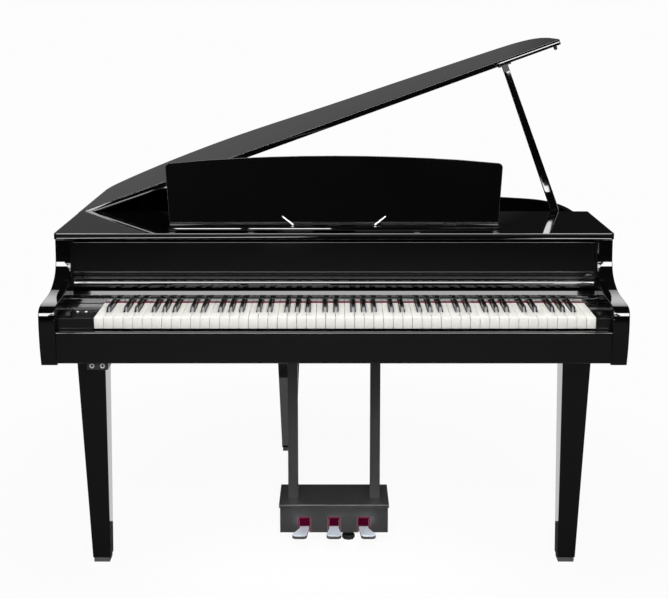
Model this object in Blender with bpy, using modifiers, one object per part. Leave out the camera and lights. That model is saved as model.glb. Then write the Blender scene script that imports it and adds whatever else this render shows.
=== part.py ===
"""A digital grand piano: case, rim, lid and stay, folding fallboard, keyboard,
music rest, legs and pedal unit, one object for each separate piece.

Metres, +Z up. +X is the treble side and +Y runs from the player to the tail.
The origin is on the floor at the middle of the case. The lid is propped open.
"""

import bpy
import bmesh
import math
from mathutils import Matrix, Vector

# Overall sizes; the width follows from the keyboard, the cheeks and the arms,
# and the height from the bed, the keys and what stands over them
CASE_DEPTH = 1.237
BED_UNDERSIDE = 0.645
KEY_RISE = 0.1115
CASE_RISE = 0.1755
GAP = 0.0003

# Case boards
ARM_SETBACK = 0.002
ARM_THICKNESS = 0.040
ARM_DROP = 0.005
ARM_FACE = 0.206
NOSE_RISE = 0.032
BED_THICKNESS = 0.023
TOP_THICKNESS = 0.016
TOP_FRONT = 0.1975
TOP_BACK = 0.5355
TOP_CORNER = 0.008
RIM_THICKNESS = 0.018
RIM_DROP = 0.012
RIM_INSET = 0.006
BEAM_THICKNESS = 0.022
SLIP_FRONT = 0.006
SLIP_THICKNESS = 0.0095
SLIP_LIFT = 0.002
SLIP_BELOW_KEYS = 0.0305
SLIP_ROUNDING = 0.004
CHEEK_FRONT = 0.027
CHEEK_DROP = 0.002
CONTROL_BACK = 0.075
VOLUME_FROM_ARM = 0.016
VOLUME_TRAVEL = 0.030
WELL_DEPTH = 0.004
SLIDER_LENGTH = 0.011
SLIDER_WIDTH = 0.010
BUTTON_RADIUS = 0.0062
BUTTON_HEIGHT = 0.007
BUTTON_SINK = 0.0003

# Keyboard
WHITE_COUNT = 52
WHITE_PITCH = 0.0235
KEY_SLOT = 0.001
LEFT_CHEEK = 0.0884
RIGHT_CHEEK = 0.0350
CHEEK_GAP = 0.0008
WHITE_FRONT = 0.029
WHITE_LENGTH = 0.1465
WHITE_HEIGHT = 0.028
HEAD_LENGTH = 0.050
STICK_DROP = 0.0115
STICK_END = 0.345
BLACK_WIDTH = 0.0112
BLACK_TOP_WIDTH = 0.0092
BLACK_RISE = 0.012
BLACK_LENGTH = 0.0945
BLACK_SLOPE = 0.008
BLACK_CLEARANCE = 0.0011
BALANCE = 0.328
BALANCE_WIDTH = 0.006
BALANCE_FOOT = 0.020
FRAME_FRONT = 0.040
FRAME_BACK = 0.360
FRAME_THICKNESS = 0.014
GUIDE_SETBACK = 0.008
GUIDE_WIDTH = 0.022
GUIDE_DROP = 0.0165
FIRST_SINGLE_WHITE = 23
SINGLE_WHITES = 7
FRAME_STEP = 0.002
FELT_THICKNESS = 0.0025

# Fallboard
FALLBOARD_FACE = 0.1945
FALLBOARD_THICKNESS = 0.010
FALLBOARD_HINGE_BACK = 0.205
FALLBOARD_HINGE_RISE = 0.0435
FALLBOARD_SHORTFALL = 0.0055
FALLBOARD_BARREL = 0.0165
FALLBOARD_BLOCK = 0.008
FLAP_HEIGHT = 0.062
FLAP_THICKNESS = 0.007
STRIP_FACE = 0.180
STRIP_THICKNESS = 0.0035
STRIP_RISE = 0.0095
RAIL_RISE = 0.0255
RAIL_LIP = 0.003
RAIL_BACK = 0.226
FELT_RISE = 0.0025

# Music rest
REST_WIDTH = 0.874
REST_NARROWING = 0.012
REST_HEIGHT = 0.154
REST_ARCH = 0.019
REST_THICKNESS = 0.010
REST_CORNER = 0.012
REST_HINGE = (0.2555, 0.018)
REST_LEAN = math.radians(10.5)
HINGE_RADIUS = 0.003
HINGE_LENGTH = 0.030
HINGE_OFFSET_X = 0.300
LEDGE_FRONT = 0.212
LEDGE_THICKNESS = 0.009
LEDGE_FOOT = 0.005
LEDGE_FOOT_WIDTH = 0.014
LEDGE_FOOT_OFFSET = 0.213
STAY_REACH = 0.060
STAY_LENGTH = 0.095
STAY_WIDTH = 0.110
STAY_THICKNESS = 0.005
STAY_ANGLE = math.radians(51.68)
CLIP_OFFSET = 0.106
CLIP_LENGTH = 0.033
CLIP_RADIUS = 0.0017
CLIP_Y = 0.236
CLIP_ANGLE = math.radians(38)

# Lid and its stay
LID_THICKNESS = 0.016
LID_ANGLE = math.radians(19.93)
HINGE_OFFSET = 0.010
PROP_THICKNESS = 0.008
PROP_TOP_WIDTH = 0.017
PROP_FOOT_WIDTH = 0.024
PROP_PIVOT_DROP = 0.0145
PROP_SETBACK = 0.164
PROP_FOOT_SETBACK = 0.077
PROP_FOOT_DROP = 0.020
PROP_Y = 0.550
EAR_THICKNESS = 0.006
EAR_CLEARANCE = 0.0005
SOCKET_THICKNESS = 0.0035
SOCKET_LENGTH = 0.036
PIN_RADIUS = 0.003
BUMPER_RADIUS = 0.005

# Legs
LEG_FRONT = 0.295
LEG_SETBACK = 0.105
LEG_TOP_WIDTH = 0.079
LEG_TOP_DEPTH = 0.084
LEG_FOOT_WIDTH = 0.048
LEG_FOOT_DEPTH = 0.044
REAR_LEG_FROM_SPINE = 0.5625
REAR_LEG_FROM_TAIL = 0.103
REAR_LEG_TOP_WIDTH = 0.098
REAR_LEG_TOP_DEPTH = 0.068
FERRULE_HEIGHT = 0.013
FERRULE_INSET = 0.0025

# Pedal unit
POST_WIDTH = 0.028
POST_SPREAD = 0.1152
POST_Y = 0.444
BOX_WIDTH = 0.302
BOX_FRONT = 0.390
BOX_DEPTH = 0.143
BOX_UNDERSIDE = 0.043
BOX_HEIGHT = 0.0725
COVER_THICKNESS = 0.0097
COVER_OVERHANG = 0.003
PEDAL_PITCH = 0.083
SLOT_WIDTH = 0.036
SLOT_HEIGHT = 0.0455
SLOT_LENGTH = 0.130
PEDAL_WIDTH = 0.0252
PEDAL_TIP_WIDTH = 0.041
PEDAL_THICKNESS = 0.009
PEDAL_REACH = 0.063
PEDAL_RISE = 0.011
FLARE = 0.012
AXLE_BACK = 0.112
AXLE_RISE = 0.018
AXLE_RADIUS = 0.004
ADJUSTER_RADIUS = 0.0185
ADJUSTER_X = 0.041
ADJUSTER_Y = 0.452
ADJUSTER_HEIGHT = 0.013
STEM_RADIUS = 0.005
FELT_BORDER = 0.0035

# Speaker and headphone box
WOOFER_FROM_SPINE = 0.415
WOOFER_FROM_TAIL = 0.387
WOOFER_RADIUS = 0.085
WOOFER_HOLE = 0.075
WOOFER_DEPTH = 0.066
JACK_BOX_FROM_SIDE = 0.134
JACK_BOX_FRONT = 0.040
JACK_BOX_SIZE = (0.052, 0.065, 0.024)

KEYBOARD_WIDTH = WHITE_COUNT * WHITE_PITCH
KEYBED_HALF = (LEFT_CHEEK + KEYBOARD_WIDTH + RIGHT_CHEEK) / 2
ARM_INNER = KEYBED_HALF + GAP
ARM_OUTER = ARM_INNER + ARM_THICKNESS
HALF = ARM_OUTER + ARM_SETBACK
FRONT = -CASE_DEPTH / 2
TAIL = FRONT + CASE_DEPTH
WHITE_TOP = BED_UNDERSIDE + KEY_RISE
CASE_HEIGHT = WHITE_TOP + CASE_RISE
ARM_UNDERSIDE = BED_UNDERSIDE - ARM_DROP
NOSE_TOP = WHITE_TOP + NOSE_RISE
CHEEK_TOP = WHITE_TOP - CHEEK_DROP
SLIP_TOP = WHITE_TOP - SLIP_BELOW_KEYS
STRIP_SHOULDER = WHITE_TOP + STRIP_RISE
RAIL_TOP = WHITE_TOP + RAIL_RISE
TOP_UNDERSIDE = CASE_HEIGHT - TOP_THICKNESS
LID_UNDERSIDE = CASE_HEIGHT - LID_THICKNESS
RIM_TOP = LID_UNDERSIDE - RIM_DROP
BED_TOP = BED_UNDERSIDE + BED_THICKNESS
KEY_BOTTOM = WHITE_TOP - WHITE_HEIGHT
STICK_TOP = WHITE_TOP - STICK_DROP
KEYS_LEFT = LEFT_CHEEK - KEYBED_HALF
KEYS_RIGHT = KEYS_LEFT + KEYBOARD_WIDTH
KEYS_BACK = WHITE_FRONT + WHITE_LENGTH
LID_BARREL = RIM_DROP / 2 - GAP


def clear_scene():
    """Take every object of the opened scene away."""
    for item in list(bpy.data.objects):
        bpy.data.objects.remove(item, do_unlink=True)


clear_scene()
PIANO = bpy.data.collections.new("digital_grand_piano")
TOOLS = bpy.data.collections.new("cutters")
for group in (PIANO, TOOLS):
    bpy.context.scene.collection.children.link(group)


def finish(name, colour, roughness, metallic=0.0):
    """A plain Principled finish."""
    made = bpy.data.materials.new(name)
    made.use_nodes = True
    shader = made.node_tree.nodes["Principled BSDF"]
    shader.inputs["Base Color"].default_value = (*colour, 1.0)
    shader.inputs["Roughness"].default_value = roughness
    shader.inputs["Metallic"].default_value = metallic
    return made


EBONY = finish("polished_ebony", (0.008, 0.008, 0.009), 0.06)
SATIN = finish("satin_black", (0.02, 0.02, 0.021), 0.4)
IVORY = finish("white_keytop", (0.86, 0.85, 0.80), 0.3)
SHARP = finish("black_keytop", (0.015, 0.015, 0.016), 0.35)
CRIMSON = finish("crimson_felt", (0.24, 0.01, 0.04), 0.95)
SILVER = finish("plated_pedal", (0.72, 0.76, 0.80), 0.2, 1.0)
STEEL = finish("steel", (0.45, 0.45, 0.46), 0.35, 1.0)
RUBBER = finish("rubber", (0.02, 0.02, 0.02), 0.8)
PAPER_CONE = finish("speaker_cone", (0.05, 0.05, 0.05), 0.7)


def add(name, mesh, material, group=None):
    """Link a new object with the given mesh and finish."""
    made = bpy.data.objects.new(name, mesh)
    (group or PIANO).objects.link(made)
    mesh.materials.clear()
    mesh.materials.append(material)
    return made


def from_bmesh(name, bm, material, group=None):
    """Turn a bmesh into an object."""
    mesh = bpy.data.meshes.new(name)
    bm.to_mesh(mesh)
    bm.free()
    return add(name, mesh, material, group)


def box(name, low, high, material, group=None):
    """A block between two corners."""
    bm = bmesh.new()
    bmesh.ops.create_cube(bm, size=1.0)
    size = Vector(high) - Vector(low)
    bmesh.ops.scale(bm, vec=size, verts=bm.verts)
    bmesh.ops.translate(bm, vec=(Vector(high) + Vector(low)) / 2, verts=bm.verts)
    return from_bmesh(name, bm, material, group)


def taper(name, top, foot, z_top, z_foot, material, group=None):
    """A post that runs from one upright rectangle (x0, x1, y0, y1) to another."""
    bm = bmesh.new()
    bmesh.ops.create_cube(bm, size=1.0)
    for vert in bm.verts:
        x0, x1, y0, y1 = top if vert.co.z > 0 else foot
        z = z_top if vert.co.z > 0 else z_foot
        vert.co = (x1 if vert.co.x > 0 else x0, y1 if vert.co.y > 0 else y0, z)
    return from_bmesh(name, bm, material, group)


def rod(name, centre, radius, length, axis, material, sides=20, group=None):
    """A round bar along X, Y or Z, centred on a point."""
    bm = bmesh.new()
    bmesh.ops.create_cone(
        bm, cap_ends=True, segments=sides, radius1=radius, radius2=radius, depth=length
    )
    turn = {"X": Matrix.Rotation(math.pi / 2, 4, "Y"), "Y": Matrix.Rotation(math.pi / 2, 4, "X")}
    bmesh.ops.transform(bm, matrix=turn.get(axis, Matrix()), verts=bm.verts)
    bmesh.ops.translate(bm, vec=centre, verts=bm.verts)
    made = from_bmesh(name, bm, material, group)
    made.data.shade_smooth()
    made.data.set_sharp_from_angle(angle=math.radians(40))
    return made


PLANES = {
    "XY": Matrix(((1, 0, 0, 0), (0, 1, 0, 0), (0, 0, 1, 0), (0, 0, 0, 1))),
    "YZ": Matrix(((0, 0, 1, 0), (1, 0, 0, 0), (0, 1, 0, 0), (0, 0, 0, 1))),
    "XZ": Matrix(((1, 0, 0, 0), (0, 0, -1, 0), (0, 1, 0, 0), (0, 0, 0, 1))),
}


def extruded(name, outline, plane, low, high, material, group=None):
    """A flat outline, filled and given its thickness from low to high across its plane."""
    curve = bpy.data.curves.new(name, "CURVE")
    curve.dimensions = "2D"
    curve.fill_mode = "BOTH"
    curve.extrude = (high - low) / 2
    spline = curve.splines.new("POLY")
    spline.points.add(len(outline) - 1)
    for point, (a, b) in zip(spline.points, outline):
        point.co = (a, b, 0.0, 1.0)
    spline.use_cyclic_u = True
    drawn = bpy.data.objects.new(name + "_outline", curve)
    bpy.context.scene.collection.objects.link(drawn)
    middle = (high + low) / 2
    if plane == "XZ":
        middle = -middle
    drawn.matrix_world = PLANES[plane] @ Matrix.Translation((0, 0, middle))
    bpy.context.view_layer.update()
    graph = bpy.context.evaluated_depsgraph_get()
    mesh = bpy.data.meshes.new_from_object(drawn.evaluated_get(graph))
    bm = bmesh.new()
    bm.from_mesh(mesh)
    bmesh.ops.remove_doubles(bm, verts=bm.verts, dist=0.00002)
    bmesh.ops.transform(bm, matrix=drawn.matrix_world, verts=bm.verts)
    bmesh.ops.dissolve_limit(bm, angle_limit=0.002, verts=bm.verts, edges=bm.edges)
    bmesh.ops.recalc_face_normals(bm, faces=bm.faces)
    bpy.data.objects.remove(drawn, do_unlink=True)
    return from_bmesh(name, bm, material, group)


def boolean(target, operation, *tools):
    """Cut or join the target with tools, which move to the cutters' collection."""
    for tool in tools:
        for holder in list(tool.users_collection):
            holder.objects.unlink(tool)
        TOOLS.objects.link(tool)
        tool.hide_render = True
        tool.display_type = "WIRE"
        step = target.modifiers.new(operation.lower(), "BOOLEAN")
        step.operation = operation
        step.solver = "EXACT"
        step.object = tool
    return target


def rounded(target, width, segments=2, angle=40):
    """Round the target's sharp edges."""
    step = target.modifiers.new("rounding", "BEVEL")
    step.width = width
    step.segments = segments
    step.limit_method = "ANGLE"
    step.angle_limit = math.radians(angle)
    return target


def baked(target):
    """Apply the target's modifiers to its mesh."""
    bpy.context.view_layer.update()
    graph = bpy.context.evaluated_depsgraph_get()
    mesh = bpy.data.meshes.new_from_object(target.evaluated_get(graph))
    target.modifiers.clear()
    old = target.data
    target.data = mesh
    bpy.data.meshes.remove(old)
    return target


def joined(name, pieces, group=TOOLS):
    """Put the meshes of several separate pieces into one object."""
    bm = bmesh.new()
    for piece in pieces:
        bm.from_mesh(piece.data)
        bpy.data.objects.remove(piece, do_unlink=True)
    return from_bmesh(name, bm, SATIN, group)


def hinged_at(target, point):
    """Move the target's origin to a point, with its shape left where it is."""
    target.data.transform(Matrix.Translation(-Vector(point)))
    target.location = point
    return target


def smooth_path(points, steps):
    """A curve through the points, each stretch cut into equal steps."""
    path = []
    last = len(points) - 1
    for i in range(last):
        p0 = Vector(points[max(i - 1, 0)])
        p1 = Vector(points[i])
        p2 = Vector(points[i + 1])
        p3 = Vector(points[min(i + 2, last)])
        for k in range(steps):
            t = k / steps
            place = 2 * p1 + (p2 - p0) * t
            place += (2 * p0 - 5 * p1 + 4 * p2 - p3) * t * t
            place += (3 * p1 - p0 - 3 * p2 + p3) * t * t * t
            path.append(place / 2)
    path.append(Vector(points[-1]))
    return path


def inset(path, distance):
    """Shift an open path to its right-hand side by a distance."""
    moved = []
    last = len(path) - 1
    for i, point in enumerate(path):
        along = (path[min(i + 1, last)] - path[max(i - 1, 0)]).normalized()
        moved.append(point + Vector((along.y, -along.x)) * distance)
    return moved


def arc(centre, radius, start, end, steps):
    """Points on an arc, with angles in degrees."""
    cx, cy = centre
    turns = [math.radians(start + (end - start) * k / steps) for k in range(steps + 1)]
    return [(cx + radius * math.cos(a), cy + radius * math.sin(a)) for a in turns]


# The bent side: distance in from the spine or the treble side, and up from the tail
SPINE_CURVE = ((0.000, 0.270), (0.014, 0.212), (0.055, 0.150), (0.115, 0.093), (0.190, 0.044),
               (0.275, 0.012), (0.360, 0.000), (0.450, 0.008), (0.560, 0.041), (0.750, 0.117))
TREBLE_CURVE = ((0.465, 0.177), (0.300, 0.227), (0.180, 0.267), (0.095, 0.302),
                (0.053, 0.342), (0.026, 0.397), (0.010, 0.467), (0.002, 0.557))
# How far the treble side runs on from its last point to the top board
SIDE_RUN = 0.1435


def case_path():
    """The lid's edge in plan, from the front of the spine round the tail to the treble side."""
    front = FRONT + TOP_BACK + 0.001
    stretch = (TAIL - front) / (TREBLE_CURVE[-1][1] + SIDE_RUN)
    points = [(across - HALF, TAIL - back * stretch) for across, back in SPINE_CURVE]
    points += [(HALF - across, TAIL - back * stretch) for across, back in TREBLE_CURVE]
    return [Vector((-HALF, front))] + smooth_path(points, 3) + [Vector((HALF, front))]


def make_case():
    """The boards that make the body: bottom, rim, arms, slip, beam and top board."""
    plan = case_path()
    outer = inset(plan, RIM_INSET)
    wall = inset(plan, RIM_INSET + RIM_THICKNESS)
    inner = inset(plan, RIM_INSET + RIM_THICKNESS + GAP)
    for path in (outer, wall):
        path[0].y = FRONT + TOP_BACK + GAP
        path[-1].y = FRONT + TOP_BACK + GAP
    ring = [(p.x, p.y) for p in outer + wall[::-1]]
    extruded("rim", ring, "XY", BED_UNDERSIDE, RIM_TOP, EBONY)

    floor_edge = [(p.x, p.y) for p in inner[1:-1]]
    step = FRONT + TOP_BACK
    slot = ARM_INNER - GAP
    bay = inner[1].x
    bed_front = FRONT + SLIP_FRONT + SLIP_THICKNESS + GAP
    outline = [(slot, bed_front), (slot, step), (inner[-2].x, step + GAP)]
    outline += list(reversed(floor_edge))
    outline += [(bay, step + GAP), (-slot, step), (-slot, bed_front)]
    extruded("bottom_board", outline, "XY", BED_UNDERSIDE, BED_TOP, SATIN)

    for name, x0, x1 in (("left_arm", -ARM_OUTER, -ARM_INNER), ("right_arm", ARM_INNER, ARM_OUTER)):
        rounded(extruded(name, arm_profile(), "YZ", x0, x1, EBONY), 0.002)

    low = BED_UNDERSIDE + SLIP_LIFT
    curl = SLIP_ROUNDING
    near = FRONT + SLIP_FRONT
    slip = [(near, low + curl), (near + curl, low), (near + SLIP_THICKNESS, low),
            (near + SLIP_THICKNESS, SLIP_TOP)]
    slip += arc((near + curl, SLIP_TOP - curl), curl, 90, 180, 4)
    extruded("key_slip", slip, "YZ", -slot, slot, EBONY)

    back = FRONT + TOP_BACK
    box("front_beam", (-slot, back - BEAM_THICKNESS, BED_TOP + GAP),
        (slot, back, TOP_UNDERSIDE - GAP), SATIN)

    corner = TOP_CORNER
    near = FRONT + TOP_FRONT
    board = arc((HALF - corner, near + corner), corner, -90, 0, 4)
    board += [(HALF, back), (-HALF, back)]
    board += arc((-HALF + corner, near + corner), corner, 180, 270, 4)
    rounded(extruded("top_board", board, "XY", TOP_UNDERSIDE, CASE_HEIGHT, EBONY), 0.0015)


def arm_profile():
    """The side of an arm: a rounded nose in front, a swept hollow above it and a high back."""
    back = FRONT + TOP_BACK
    face = FRONT + ARM_FACE
    top = TOP_UNDERSIDE - GAP
    tall = NOSE_TOP - ARM_UNDERSIDE
    high = TOP_UNDERSIDE - NOSE_TOP
    # Distance back from the front, and share of the height under and over the nose's top
    nose = [(0.0160, 0.0), (0.0105, 0.148), (0.0050, 0.337), (0.0015, 0.539), (0.0, 0.707),
            (0.0004, 0.848), (0.0040, 0.929), (0.0120, 0.976), (0.0260, 1.0)]
    sweep = [(0.050, 0.012), (0.096, 0.031), (0.128, 0.063), (0.148, 0.114), (0.168, 0.184),
             (0.186, 0.278), (0.198, 0.396), (0.204, 0.537)]
    front_edge = [(FRONT + back_by, ARM_UNDERSIDE + share * tall) for back_by, share in nose]
    hollow = [(FRONT + back_by, NOSE_TOP + share * high) for back_by, share in sweep]
    points = front_edge[:-1] + [tuple(p) for p in smooth_path([front_edge[-1]] + hollow, 2)]
    return points + [(face, top - 0.280 * high), (face, top), (back, top), (back, ARM_UNDERSIDE)]


def make_cheeks():
    """The blocks at both ends of the keyboard, with their controls."""
    front = FRONT + CHEEK_FRONT
    back = FRONT + KEYS_BACK
    slot = ARM_INNER - GAP
    left = box("left_cheek", (-slot, front, BED_TOP + GAP),
               (KEYS_LEFT - CHEEK_GAP, back, CHEEK_TOP), SATIN)
    right = box("right_cheek", (KEYS_RIGHT + CHEEK_GAP, front, BED_TOP + GAP),
                (slot, back, CHEEK_TOP), SATIN)
    volume = Vector((-slot + VOLUME_FROM_ARM, FRONT + CONTROL_BACK))
    side = SLIDER_WIDTH / 2 + 0.0005
    end = VOLUME_TRAVEL / 2 + SLIDER_LENGTH / 2 + 0.0005
    floor = CHEEK_TOP - WELL_DEPTH
    well = box("volume_well", (volume.x - side, volume.y - end, floor),
               (volume.x + side, volume.y + end, CHEEK_TOP + WELL_DEPTH), SATIN)
    boolean(left, "DIFFERENCE", well)
    grip = SLIDER_LENGTH / 2
    knob = [(volume.y - grip, floor + GAP), (volume.y + grip, floor + GAP),
            (volume.y + grip - 0.001, CHEEK_TOP + 0.0035), (volume.y, CHEEK_TOP + 0.0025),
            (volume.y - grip + 0.001, CHEEK_TOP + 0.0035)]
    half = SLIDER_WIDTH / 2
    slider = extruded("volume_slider", knob, "YZ", volume.x - half, volume.x + half, SATIN)
    hinged_at(slider, (volume.x, volume.y, CHEEK_TOP))
    power = Vector(((KEYS_RIGHT + slot) / 2, FRONT + CONTROL_BACK))
    bore = rod("power_bore", (power.x, power.y, CHEEK_TOP), BUTTON_RADIUS + 2 * GAP, 0.012, "Z", SATIN)
    boolean(right, "DIFFERENCE", bore)
    button = rod("power_button", (0, 0, 0), BUTTON_RADIUS, BUTTON_HEIGHT, "Z", SATIN)
    button.location = (power.x, power.y, CHEEK_TOP - BUTTON_SINK)
    rounded(button, 0.0006, 1)


def natural_profile(back_end):
    """The side of a white key, with the thin stick that runs back to its balance point."""
    near = FRONT + WHITE_FRONT
    felt = FRONT + KEYS_BACK
    return [(near, KEY_BOTTOM), (near, WHITE_TOP - 0.002), (near + 0.002, WHITE_TOP),
            (felt, WHITE_TOP), (felt, STICK_TOP), (back_end, STICK_TOP), (back_end, KEY_BOTTOM)]


def sharp_profile():
    """The side of a black key, with a sloping front and the same stick."""
    near = FRONT + KEYS_BACK - BLACK_LENGTH
    felt = FRONT + KEYS_BACK
    end = FRONT + STICK_END
    top = WHITE_TOP + BLACK_RISE
    return [(near, KEY_BOTTOM), (near, WHITE_TOP), (near + BLACK_SLOPE, top - 0.0015),
            (near + BLACK_SLOPE + 0.003, top), (felt, top), (felt, STICK_TOP),
            (end, STICK_TOP), (end, KEY_BOTTOM)]


# Letter of each white key from the lowest, and how far its upper black neighbour sits off the joint
LETTERS = "ABCDEFG"
SHARP_SHIFT = {"A": 0.0024, "C": -0.0018, "D": 0.0018, "F": -0.0026, "G": 0.0}


def letter(white):
    """Note letter of a white key counted from the lowest."""
    return LETTERS[white % 7]


def joint_x(white):
    """X of the lower edge of a white key."""
    return KEYS_LEFT + white * WHITE_PITCH


def sharp_x(white):
    """X of the black key above a white key, or None."""
    if letter(white) not in SHARP_SHIFT or white == WHITE_COUNT - 1:
        return None
    return joint_x(white + 1) + SHARP_SHIFT[letter(white)]


def black_key(name, x, group=None):
    """A black key with drawn-in sides."""
    key = extruded(name, sharp_profile(), "YZ", x - BLACK_WIDTH / 2, x + BLACK_WIDTH / 2,
                   SHARP, group)
    for vert in key.data.vertices:
        if vert.co.z > WHITE_TOP + 0.001:
            vert.co.x = x + (vert.co.x - x) * BLACK_TOP_WIDTH / BLACK_WIDTH
    return key


def notch(x):
    """The cutter that leaves room in the white keys for one black key."""
    reach = BLACK_WIDTH / 2 + BLACK_CLEARANCE
    return box("notch", (x - reach, FRONT + WHITE_FRONT + HEAD_LENGTH, KEY_BOTTOM - 0.01),
               (x + reach, FRONT + STICK_END + 0.01, WHITE_TOP + 0.01), SATIN)


def rail_profile(seat):
    """The key frame's side: a tray, a low front rail and a narrow balance rail up to the seat."""
    balance = FRONT + BALANCE
    half = BALANCE_WIDTH / 2
    near = FRONT + FRAME_FRONT
    far = FRONT + FRAME_BACK
    guide_near = near + GUIDE_SETBACK
    guide_far = guide_near + GUIDE_WIDTH
    tray = BED_TOP + FRAME_THICKNESS
    guide = KEY_BOTTOM - GUIDE_DROP
    return [(near, BED_TOP + GAP), (near, tray), (guide_near, tray), (guide_near, guide),
            (guide_far, guide), (guide_far, tray), (balance - BALANCE_FOOT, tray),
            (balance - half, guide), (balance - half, seat), (balance + half, seat),
            (balance + half, guide), (balance + BALANCE_FOOT, tray), (far, tray),
            (far, BED_TOP + GAP)]


def key_section(name, first, last):
    """A run of keys fused to the stretch of key frame that carries them."""
    low = joint_x(first) + KEY_SLOT / 2
    high = joint_x(last + 1) - KEY_SLOT / 2
    body = extruded(name, natural_profile(FRONT + STICK_END), "YZ", low, high, IVORY)
    slots = []
    for white in range(first + 1, last + 1):
        x = joint_x(white)
        slots.append(box("slot", (x - KEY_SLOT / 2, FRONT, KEY_BOTTOM - 0.01),
                         (x + KEY_SLOT / 2, FRONT + STICK_END + 0.01, WHITE_TOP + 0.01), SATIN))
    sharps = [sharp_x(white) for white in range(first, last)]
    sharps = [x for x in sharps if x is not None]
    boolean(body, "DIFFERENCE", joined(name + "_slots", slots))
    boolean(body, "DIFFERENCE", joined(name + "_notches", [notch(x) for x in sharps]))
    frame = extruded(name + "_frame", rail_profile(KEY_BOTTOM + 0.001), "YZ",
                     low + FRAME_STEP, high - FRAME_STEP, SATIN)
    blacks = joined(name + "_sharps", [black_key("sharp", x) for x in sharps])
    boolean(frame, "UNION", blacks)
    boolean(body, "UNION", frame)
    return body


def make_keyboard():
    """Twelve single keys in the middle octave, between two fused sections."""
    last_single = FIRST_SINGLE_WHITE + SINGLE_WHITES - 1
    key_section("keys_bass", 0, FIRST_SINGLE_WHITE - 1)
    key_section("keys_treble", last_single + 1, WHITE_COUNT - 1)
    low = joint_x(FIRST_SINGLE_WHITE)
    high = joint_x(last_single + 1)
    extruded("key_frame", rail_profile(KEY_BOTTOM - GAP), "YZ", low, high, SATIN)
    pivot = (FRONT + BALANCE, KEY_BOTTOM - GAP)
    for white in range(FIRST_SINGLE_WHITE, last_single + 1):
        x0 = joint_x(white) + KEY_SLOT / 2
        x1 = joint_x(white + 1) - KEY_SLOT / 2
        name = "key_" + letter(white).lower()
        key = extruded(name, natural_profile(FRONT + STICK_END), "YZ", x0, x1, IVORY)
        for x in (sharp_x(white - 1), sharp_x(white)):
            if x is not None and not (white == last_single and x > x1):
                boolean(key, "DIFFERENCE", notch(x))
        baked(key)
        hinged_at(key, ((x0 + x1) / 2, *pivot))
        x = sharp_x(white)
        if x is not None:
            sharp = black_key(name + "_sharp", x)
            hinged_at(sharp, (x, *pivot))
    felt_back = FRONT + STRIP_FACE - GAP
    box("key_felt", (KEYS_LEFT, felt_back - FELT_THICKNESS, STICK_TOP + 2 * GAP),
        (KEYS_RIGHT, felt_back, WHITE_TOP + FELT_RISE), CRIMSON)


def turned(name, profile, centre, material, steps=28, group=None):
    """A solid turned about an upright axis; the profile runs down its outer side."""
    bm = bmesh.new()
    verts = [bm.verts.new((radius, 0, z)) for radius, z in profile]
    for pair in zip(verts, verts[1:]):
        bm.edges.new(pair)
    made = from_bmesh(name, bm, material, group)
    made.location = centre
    turn = made.modifiers.new("turning", "SCREW")
    turn.axis = "Z"
    turn.angle = math.tau
    turn.steps = steps
    turn.render_steps = steps
    turn.use_merge_vertices = True
    turn.merge_threshold = 0.00002
    return made


def bar_outline(start, end, start_radius, end_radius, steps=6):
    """The outline of a flat bar with round ends, from one point to another."""
    along = math.degrees(math.atan2(end[1] - start[1], end[0] - start[0]))
    points = arc(start, start_radius, along + 90, along + 270, steps)
    return points + arc(end, end_radius, along - 90, along + 90, steps)


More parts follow.
